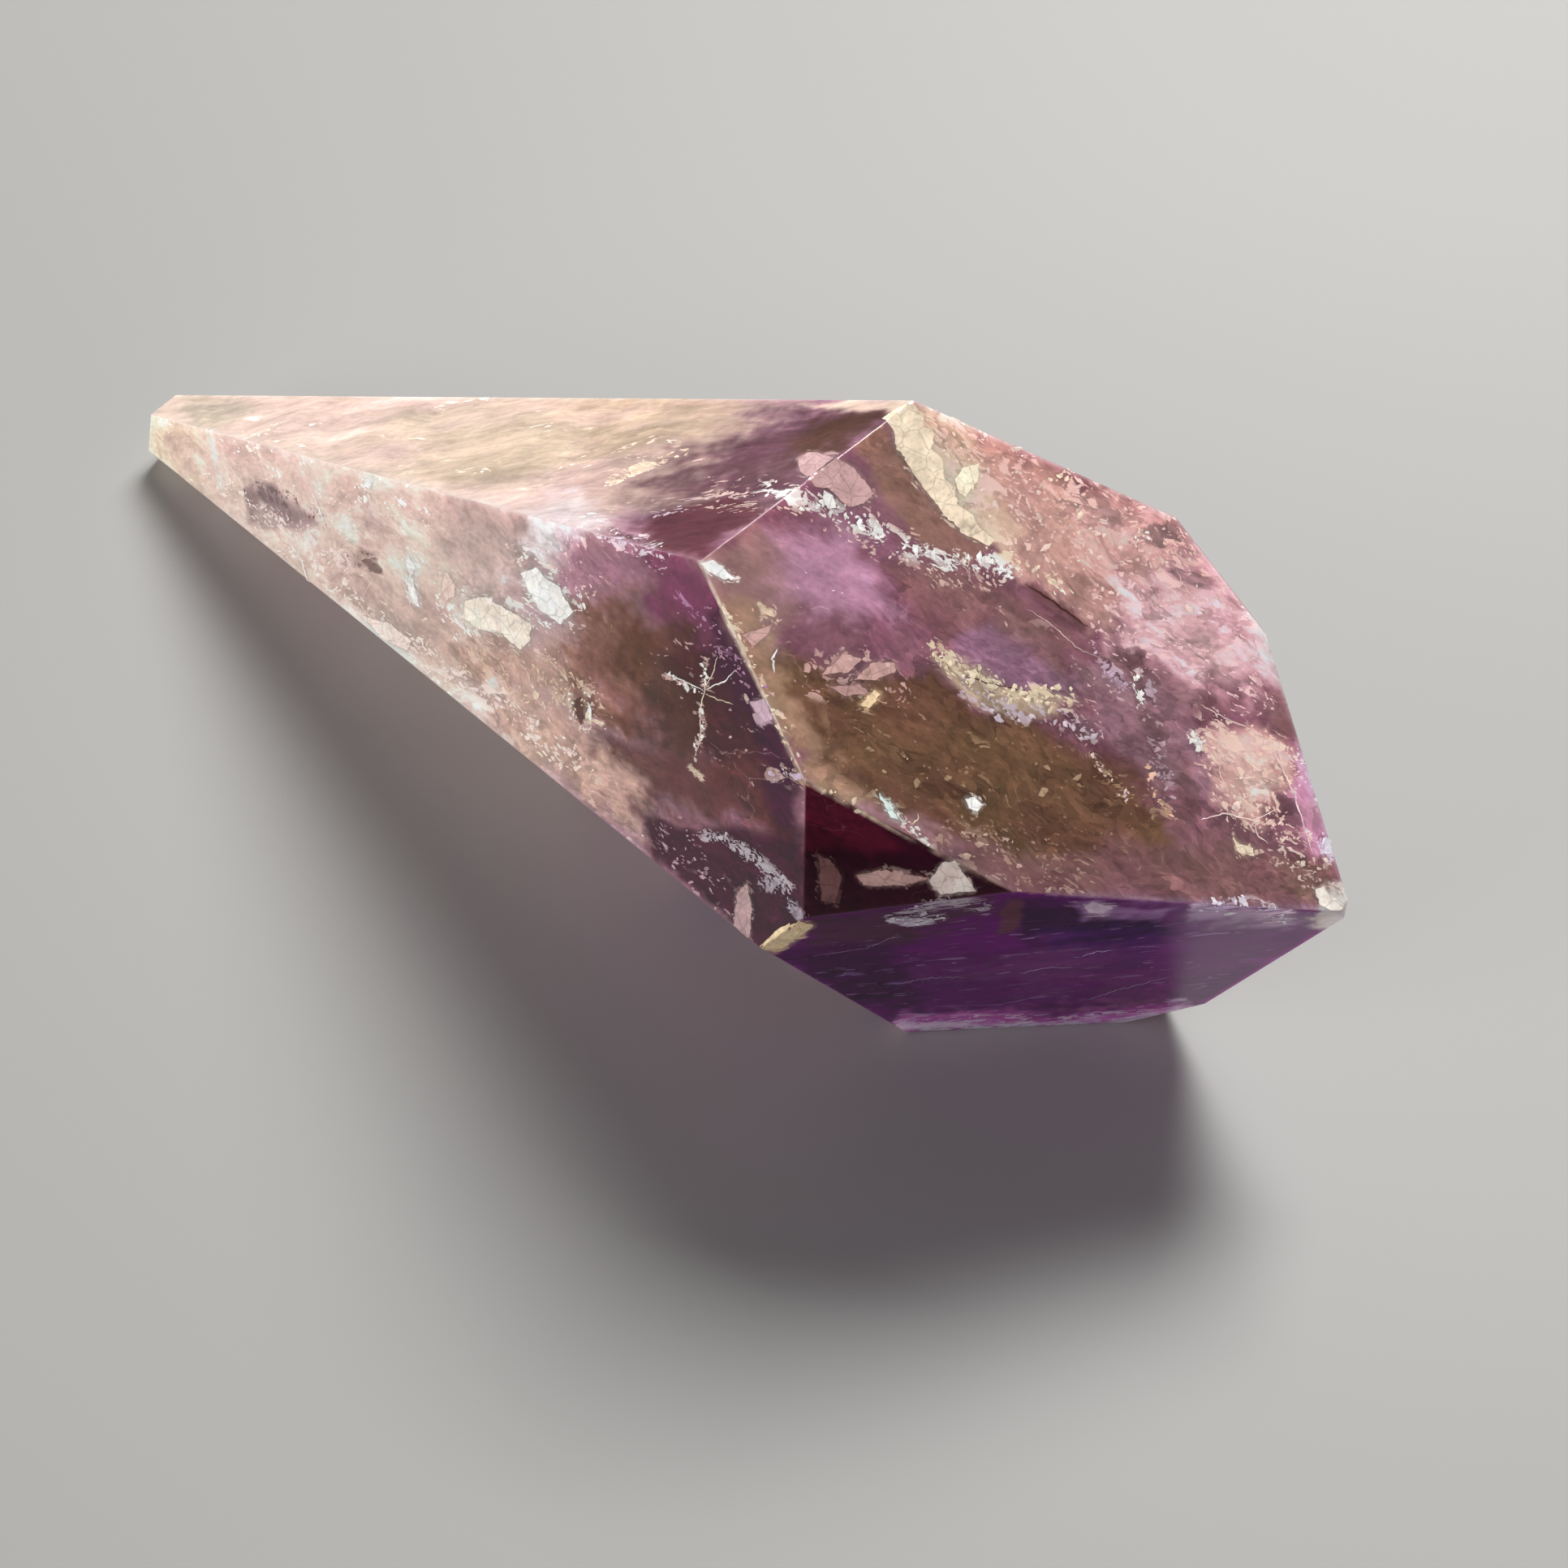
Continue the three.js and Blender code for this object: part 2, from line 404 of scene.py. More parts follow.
ZONES = {
    # long top side
    "top side ground": Zone(
        [(180, 480), (900, 480), (860, 640), (400, 600), (180, 560)], (0.66, 0.50, 0.42), 0.16, 0.75, 20
    ),
    "beige band": Zone(
        [(430, 498), (960, 498), (900, 535), (700, 565), (560, 600)], (0.60, 0.47, 0.35), 0.13, 0.8, 40
    ),
    "dry beige": Zone([(740, 497), (935, 494), (880, 540), (720, 560)], (0.50, 0.37, 0.27), 0.20, 0.8, 30),
    "sage wisp": Zone([(215, 492), (310, 492), (290, 510), (235, 520)], (0.40, 0.36, 0.27), 0.13, 0.7, 12),
    "pink band": Zone(
        [(680, 592), (780, 558), (880, 535), (905, 560), (830, 600), (720, 628)],
        (0.60, 0.42, 0.37), 0.29, 0.85, 24,
    ),
    "smoky violet band": Zone(
        [(770, 625), (830, 572), (905, 545), (985, 503), (1100, 492), (1100, 515), (1050, 560),
         (1000, 590), (935, 620), (870, 612), (800, 640)],
        (0.15, 0.07, 0.085), 0.49, 0.95, 34,
    ),
    "dark smoke": Zone(
        [(975, 560), (1000, 515), (1060, 500), (1085, 512), (1050, 556), (1010, 572)],
        (0.11, 0.055, 0.035), 0.52, 0.92, 17,
    ),
    "shade under the vein": Zone(
        [(768, 655), (830, 628), (900, 612), (945, 628), (868, 688), (820, 675)],
        (0.16, 0.055, 0.07), 0.49, 0.97, 9,
    ),
    "blue white patch": Zone(
        [(652, 628), (700, 600), (742, 640), (702, 655)], (0.70, 0.60, 0.60), 0.13, 0.95, 16
    ),
    "bright rim": Zone(
        [(985, 500), (1040, 488), (1135, 487), (1105, 505), (1040, 504)], (0.90, 0.74, 0.56), 0.13, 0.75, 5
    ),
    # long front side
    "mauve grey middle": Zone(
        [(540, 600), (680, 625), (690, 700), (600, 720), (540, 700)], MAUVE_GREY, 0.20, 0.8, 30
    ),
    "blue white spread": Zone(
        [(648, 632), (708, 648), (706, 694), (662, 686)], (0.97, 0.90, 0.92), 0.1, 1, 16
    ),
    "rose lobe": Zone(
        [(485, 612), (545, 602), (552, 650), (520, 685), (480, 668)], MILK_ROSE, 0.13, 0.85, 8
    ),
    "grey window": Zone(
        [(303, 595), (345, 600), (388, 628), (394, 648), (365, 662), (340, 650), (320, 652), (303, 645)],
        (0.44, 0.32, 0.30), 0.4, 0.9, 7,
    ),
    "window shade": Zone(
        [(304, 598), (335, 603), (362, 625), (390, 635), (388, 648), (365, 645), (345, 632), (320, 615),
         (308, 650)],
        (0.31, 0.21, 0.20), 0.4, 0.85, 5,
    ),
    "streaked brown": Zone(
        [(425, 673), (470, 690), (468, 706), (440, 712), (424, 700)], (0.17, 0.09, 0.08), 0.3, 0.65, 11
    ),
    "lower mauve": Zone(
        [(400, 700), (560, 762), (545, 805), (430, 765)], (0.47, 0.33, 0.29), 0.23, 0.7, 22
    ),
    "mottled brown": Zone(
        [(560, 780), (690, 795), (725, 865), (640, 875), (580, 825)], (0.47, 0.29, 0.21), 0.26, 0.75, 22
    ),
    "lilac field": Zone(
        [(690, 645), (780, 668), (805, 720), (760, 762), (700, 735)], (0.41, 0.19, 0.26), 0.33, 0.9, 20
    ),
    "light olive": Zone(
        [(690, 755), (790, 745), (830, 800), (790, 905), (715, 870)], (0.25, 0.105, 0.055), 0.36, 0.85, 26
    ),
    "warm brown": Zone(
        [(742, 765), (800, 745), (850, 750), (872, 850), (868, 930), (835, 932), (785, 895), (746, 830)],
        (0.105, 0.030, 0.012), 0.3, 0.88, 24,
    ),
    "dark heart": Zone(
        [(822, 742), (838, 690), (866, 700), (995, 958), (995, 1140), (935, 1040), (880, 985), (860, 930),
         (835, 890), (830, 800)],
        (0.065, 0.004, 0.008), 0.3, 0.97, 26,
    ),
    "umber": Zone(
        [(796, 850), (860, 835), (866, 915), (840, 935), (800, 900)], (0.085, 0.028, 0.012), 0.3, 0.6, 24
    ),
    "violet shade": Zone(
        [(790, 672), (866, 692), (905, 765), (885, 790), (845, 775), (805, 748)],
        (0.23, 0.05, 0.12), 0.33, 0.92, 14,
    ),
    "violet by the edge": Zone(
        [(880, 735), (990, 958), (988, 1040), (950, 1000), (925, 900), (868, 805)],
        (0.055, 0.001, 0.028), 0.3, 0.95, 12,
    ),
    "rose lower band": Zone(
        [(600, 872), (700, 880), (765, 930), (800, 1000), (795, 1040), (720, 985), (650, 930)],
        (0.58, 0.38, 0.31), 0.23, 0.95, 18,
    ),
    "russet": Zone(
        [(735, 900), (845, 925), (930, 965), (950, 1030), (885, 1012), (800, 1000), (755, 950)],
        (0.13, 0.036, 0.030), 0.3, 0.92, 18,
    ),
    "dark corner": Zone(
        [(798, 1003), (850, 1018), (905, 1020), (988, 1040), (989, 1133), (940, 1172), (860, 1100),
         (795, 1052)],
        (0.05, 0.001, 0.018), 0.3, 0.97, 6,
    ),
    "pale lower edge": Zone(
        [(425, 735), (610, 880), (595, 890), (415, 750)], (0.97, 0.74, 0.67), 0.12, 0.9, 8
    ),
    # small front pyramid face
    "dark triangle": Zone(
        [(940, 900), (1290, 1080), (1260, 1130), (980, 1180)], (0.042, 0.001, 0.012), 0.4, 1, 4
    ),
    "red shade": Zone(
        [(990, 958), (1060, 1000), (1110, 1040), (1060, 1060), (990, 1042)],
        (0.12, 0.006, 0.026), 0.4, 0.97, 10,
    ),
    # top pyramid face
    "mauve ground": Zone(
        [(840, 650), (1126, 450), (1600, 760), (1700, 1140), (1250, 1120)], MAUVE, 0.39, 0.85, 2
    ),
    "rose corner": Zone(
        [(862, 692), (930, 645), (990, 690), (980, 765), (930, 790), (890, 750)],
        (0.40, 0.23, 0.22), 0.36, 0.9, 18,
    ),
    "violet glow": Zone(
        [(955, 668), (1050, 645), (1088, 682), (1072, 760), (1010, 775), (968, 725)],
        LILAC_GLOW, 0.33, 0.95, 30,
    ),
    "smoke under the plate": Zone(
        [(1100, 695), (1220, 715), (1335, 790), (1300, 835), (1180, 805), (1120, 765)],
        (0.30, 0.15, 0.15), 0.43, 0.92, 14,
    ),
    "brown wedge": Zone(
        [(1040, 548), (1076, 516), (1112, 560), (1152, 625), (1218, 682), (1195, 702), (1130, 662),
         (1080, 602)],
        (0.34, 0.185, 0.145), 0.5, 0.97, 7,
    ),
    "rose field": Zone(
        [(1170, 515), (1300, 570), (1450, 640), (1400, 765), (1330, 765), (1240, 685), (1200, 600)],
        (0.60, 0.36, 0.31), 0.26, 0.95, 20,
    ),
    "plate ground": Zone(
        [(1110, 492), (1160, 508), (1196, 545), (1206, 585), (1236, 620), (1262, 662), (1240, 682),
         (1205, 660), (1150, 600), (1115, 540)],
        (0.80, 0.58, 0.44), 0.2, 0.9, 13,
    ),
    "grey rose": Zone(
        [(1340, 598), (1450, 635), (1500, 705), (1400, 685), (1330, 640)], (0.55, 0.35, 0.34), 0.26, 0.7, 24
    ),
    "pink field": Zone(
        [(1375, 715), (1520, 695), (1563, 785), (1590, 855), (1450, 850), (1380, 790)],
        (0.88, 0.55, 0.58), 0.17, 0.93, 26,
    ),
    "violet window": Zone(
        [(1165, 802), (1215, 770), (1270, 790), (1332, 855), (1290, 870), (1220, 838)],
        (0.35, 0.19, 0.27), 0.42, 0.95, 14,
    ),
    "streaked cloud": Zone(
        [(1320, 830), (1380, 808), (1450, 840), (1488, 905), (1502, 990), (1440, 990), (1370, 930)],
        (0.36, 0.20, 0.24), 0.33, 0.9, 16,
    ),
    "olive field": Zone(
        [(900, 790), (960, 800), (1040, 855), (1150, 825), (1200, 875), (1290, 900), (1390, 960),
         (1455, 1025), (1400, 1062), (1250, 1070), (1120, 1010), (1000, 950)],
        (0.20, 0.105, 0.06), 0.49, 0.97, 14,
    ),
    "light strip by the edge": Zone(
        [(878, 725), (930, 740), (1012, 930), (1085, 988), (1045, 988), (985, 948)],
        (0.47, 0.30, 0.21), 0.36, 0.88, 12,
    ),
    "smoky lower field": Zone(
        [(1130, 1022), (1260, 1052), (1450, 1035), (1560, 1050), (1640, 1112), (1250, 1100)],
        (0.27, 0.14, 0.135), 0.4, 0.9, 16,
    ),
    "cream veil ground": Zone(
        [(1148, 802), (1200, 820), (1262, 850), (1312, 858), (1305, 880), (1240, 885), (1185, 855)],
        (0.62, 0.47, 0.34), 0.26, 0.9, 7,
    ),
    "dark streak in the cloud": Zone(
        [(1388, 812), (1402, 815), (1426, 880), (1441, 985), (1430, 990), (1408, 895)],
        (0.20, 0.10, 0.11), 0.4, 0.65, 6,
    ),
    "dark streak above the cloud": Zone(
        [(1325, 786), (1380, 803), (1450, 828), (1500, 878), (1490, 890), (1435, 845), (1372, 818),
         (1325, 800)],
        (0.24, 0.12, 0.13), 0.4, 0.65, 7,
    ),
    "dark streak by the copper drift": Zone(
        [(1455, 930), (1468, 935), (1475, 1000), (1462, 1030), (1450, 990)], (0.20, 0.10, 0.10), 0.4, 0.6, 7
    ),
    "dark cleft": Zone(
        [(1258, 722), (1275, 718), (1310, 745), (1342, 768), (1336, 778), (1300, 762)],
        (0.18, 0.08, 0.09), 0.5, 0.8, 4,
    ),
    "orange field": Zone(
        [(1492, 905), (1560, 898), (1592, 960), (1560, 1012), (1503, 990)],
        (0.95, 0.58, 0.52), 0.16, 0.9, 16,
    ),
    "rim shade": Zone(
        [(1555, 862), (1595, 850), (1612, 905), (1570, 915)], (0.31, 0.16, 0.17), 0.39, 0.9, 8
    ),
    "rim lilac": Zone(
        [(1598, 925), (1622, 935), (1655, 1062), (1622, 1052), (1590, 980)],
        (0.62, 0.31, 0.44), 0.23, 0.92, 7,
    ),
    "shade by the tip": Zone(
        [(1560, 1052), (1640, 1062), (1655, 1095), (1600, 1112)], (0.32, 0.18, 0.155), 0.39, 0.9, 8
    ),
    # low front pyramid face
    "violet ground": Zone(
        [(900, 1100), (1700, 1080), (1700, 1300), (900, 1300)], (0.135, 0.002, 0.15), 0.3, 1, 2
    ),
    "left shade": Zone(
        [(940, 1172), (1110, 1150), (1130, 1235), (1040, 1232)], (0.04, 0.003, 0.04), 0.4, 0.8, 24
    ),
    "bright right": Zone(
        [(1400, 1145), (1600, 1140), (1490, 1230), (1420, 1212)], (0.20, 0.02, 0.21), 0.33, 0.85, 26
    ),
    "dark top": Zone(
        [(1240, 1108), (1430, 1118), (1440, 1152), (1260, 1162)], (0.025, 0.001, 0.035), 0.4, 0.9, 12
    ),
    "blue violet": Zone(
        [(1280, 1150), (1430, 1140), (1420, 1190), (1290, 1186)], (0.06, 0.004, 0.15), 0.35, 0.6, 18
    ),
    "lilac drift": Zone(
        [(1130, 1200), (1300, 1172), (1420, 1180), (1290, 1228)], (0.20, 0.05, 0.19), 0.3, 0.55, 18
    ),
    "pink drift": Zone(
        [(1330, 1208), (1440, 1196), (1470, 1218), (1380, 1240)], (0.22, 0.05, 0.19), 0.3, 0.5, 14
    ),
    "smoky top left": Zone(
        [(985, 1138), (1200, 1103), (1240, 1120), (1100, 1165), (1000, 1162)],
        (0.08, 0.025, 0.045), 0.4, 0.85, 12,
    ),
    "brown crescent": Zone(
        [(1228, 1152), (1240, 1110), (1262, 1108), (1262, 1128), (1245, 1148)],
        (0.15, 0.045, 0.06), 0.4, 0.9, 3,
    ),
    "lilac under the edge": Zone(
        [(1330, 1110), (1445, 1117), (1432, 1129), (1340, 1126)], (0.50, 0.25, 0.55), 0.33, 0.8, 8
    ),
    "feathers by the tip": Zone(
        [(1470, 1112), (1600, 1124), (1580, 1140), (1470, 1136)], (0.58, 0.40, 0.56), 0.3, 0.7, 10
    ),
    "lilac bottom": Zone(
        [(1105, 1243), (1300, 1248), (1440, 1228), (1465, 1242), (1385, 1270), (1118, 1277)],
        (0.62, 0.12, 0.52), 0.3, 0.92, 10,
    ),
}

# Lines of colour on the surface: path, half width, colour, clearness and strength
Line = namedtuple("Line", "path width colour clearness strength")

LINES = {
    # The three face edge lines are painted highlights, where light catches the rounded edges.
    "painted highlight on the left face edge": Line([(862, 692), (990, 960), (1120, 1034)], 2.0, CREAM, 0.3, 0.8),
    "painted highlight on the low face edge": Line([(1120, 1034), (1250, 1098)], 2.5, (0.5, 0.36, 0.3), 0.4, 0.7),
    "painted lilac highlight on the face edge": Line([(1290, 1101), (1640, 1120)], 2.5, (0.45, 0.3, 0.42), 0.4, 0.6),
    # Painted highlight: a bright line along the bottom edge.
    "painted highlight on the bottom edge": Line(
        [(1110, 1264), (1250, 1267), (1385, 1260), (1465, 1240)], 5, (0.95, 0.62, 0.92), 0.2, 1
    ),
    "end line": Line([(258, 530), (272, 600)], 4, WHITE, 0.2, 0.7),
    # Painted shade: a dark line in the slot along the ridge.
    "painted shade in the ridge slot": Line([(752, 652), (790, 668), (812, 671)], 3, UMBER, 0.6, 0.8),
}

# The crystal's own colour by its share of the length from the cut end: place, colour and clearness
ALONG = [
    (0.0, CREAM, 0.10),
    (0.12, MILK_ROSE, 0.14),
    (0.40, MILK_ROSE, 0.21),
    (0.58, LILAC, 0.35),
    (0.72, MAUVE, 0.52),
    (1.0, DUSTY_ROSE, 0.52),
]


# Inclusions

# Cracks that shine as flat plates: outline in pixels and colour. The two glints are painted highlights, and
# the dark plate in the small hole is painted shade.
Plate = namedtuple("Plate", "outline colour")

PLATES = {
    "beige plate": Plate(
        [(1083, 506), (1098, 495), (1122, 494), (1136, 508), (1138, 524), (1150, 533), (1148, 552),
         (1162, 566), (1164, 590), (1178, 600), (1180, 622), (1200, 634), (1208, 652), (1226, 664),
         (1218, 672), (1190, 660), (1165, 636), (1140, 604), (1122, 576), (1104, 552), (1101, 530)],
        CREAM,
    ),
    "bright bit": Plate(
        [(1177, 592), (1186, 578), (1206, 571), (1203, 592), (1190, 613), (1182, 608)], (0.97, 0.84, 0.64)
    ),
    "left white plate": Plate(
        [(572, 738), (600, 735), (625, 752), (655, 770), (652, 790), (640, 800), (620, 780), (590, 775),
         (568, 760)],
        (0.95, 0.82, 0.70),
    ),
    "right white plate": Plate(
        [(642, 706), (660, 700), (690, 725), (706, 756), (690, 768), (665, 752), (648, 722)], WHITE
    ),
    "upper blade": Plate([(503, 685), (513, 700), (508, 708), (500, 698)], WHITE),
    "lower blade": Plate([(499, 712), (507, 708), (517, 748), (510, 745)], WHITE),
    "pink blade": Plate([(548, 702), (562, 722), (559, 735), (548, 741), (544, 725)], MILK_ROSE),
    "small chip": Plate([(448, 598), (453, 588), (459, 589), (455, 600)], WHITE),
    "lower edge chips": Plate(
        [(446, 758), (480, 768), (508, 790), (500, 800), (470, 785)], (0.95, 0.78, 0.70)
    ),
    "corner chip": Plate([(863, 694), (880, 690), (908, 715), (886, 713), (872, 704)], WHITE),
    "pink plate": Plate(
        [(996, 590), (1012, 577), (1030, 563), (1040, 570), (1052, 576), (1064, 591), (1076, 609),
         (1064, 621), (1046, 624), (1034, 615), (1022, 601), (1006, 600)],
        (0.60, 0.37, 0.36),
    ),
    "pink plate across the edge": Plate(
        [(983, 566), (992, 559), (1006, 557), (1028, 563), (1012, 576), (998, 588), (986, 581)],
        (0.60, 0.38, 0.38),
    ),
    "rose flake high": Plate([(915, 782), (950, 771), (948, 780), (928, 796)], ROSE),
    "rose flake left": Plate([(932, 742), (950, 750), (955, 762), (938, 757)], BEIGE),
    "petal one": Plate([(1012, 832), (1040, 805), (1062, 812), (1045, 828)], ROSE),
    "petal two": Plate([(1052, 838), (1075, 815), (1102, 818), (1105, 826), (1080, 838)], ROSE),
    "petal three": Plate([(1022, 846), (1060, 843), (1072, 856), (1040, 858)], DUSTY_ROSE),
    "petal four": Plate([(1058, 868), (1078, 850), (1086, 856), (1070, 872)], GOLD_CREAM),
    "brown flake": Plate(
        [(1008, 1052), (1022, 1059), (1037, 1080), (1030, 1112), (1012, 1110)], (0.17, 0.07, 0.07)
    ),
    "pink flake": Plate([(1055, 1079), (1090, 1071), (1148, 1081), (1112, 1091), (1065, 1092)], ROSE),
    "white pink plate": Plate(
        [(1145, 1086), (1160, 1065), (1176, 1061), (1203, 1098), (1158, 1102)], (0.95, 0.76, 0.70)
    ),
    "gold plate": Plate(
        [(934, 1168), (955, 1146), (985, 1136), (1002, 1140), (985, 1155), (955, 1174)], GOLD_CREAM
    ),
    "pink corner flake": Plate(
        [(905, 1142), (908, 1100), (920, 1090), (926, 1120), (922, 1158)], (0.50, 0.32, 0.32)
    ),
    "lilac flake": Plate([(925, 865), (942, 862), (952, 888), (938, 892)], (0.62, 0.42, 0.50)),
    "bright glint": Plate([(1190, 984), (1202, 982), (1211, 992), (1204, 1000), (1194, 996)], WHITE),
    "hook": Plate([(1519, 1030), (1527, 1040), (1545, 1045), (1545, 1054), (1527, 1051)], CREAM),
    "tip chip": Plate(
        [(1620, 1096), (1630, 1093), (1641, 1103), (1655, 1114), (1656, 1121), (1640, 1121), (1628, 1115)],
        (0.86, 0.78, 0.70),
    ),
    "edge glint": Plate([(1083, 977), (1097, 990), (1108, 1012), (1097, 1008)], (0.75, 0.85, 0.80)),
    # Painted shade: a dark plate where the small hole is.
    "painted shade in the small hole": Plate([(709, 862), (716, 858), (719, 885), (714, 892), (710, 880)], (0.10, 0.03, 0.02)),
    "white lilac blob": Plate(
        [(1336, 1117), (1350, 1110), (1372, 1117), (1362, 1127), (1342, 1126)], (0.75, 0.55, 0.72)
    ),
}

# Strings of small bright cracks, and strings of painted glints and highlights: path in pixels, half width,
# the share of the face that they cover, how many stand out as chips, and colour
Vein = namedtuple("Vein", "path width density chips colour")
CHIP_SIZE = 0.42  # millimetres across

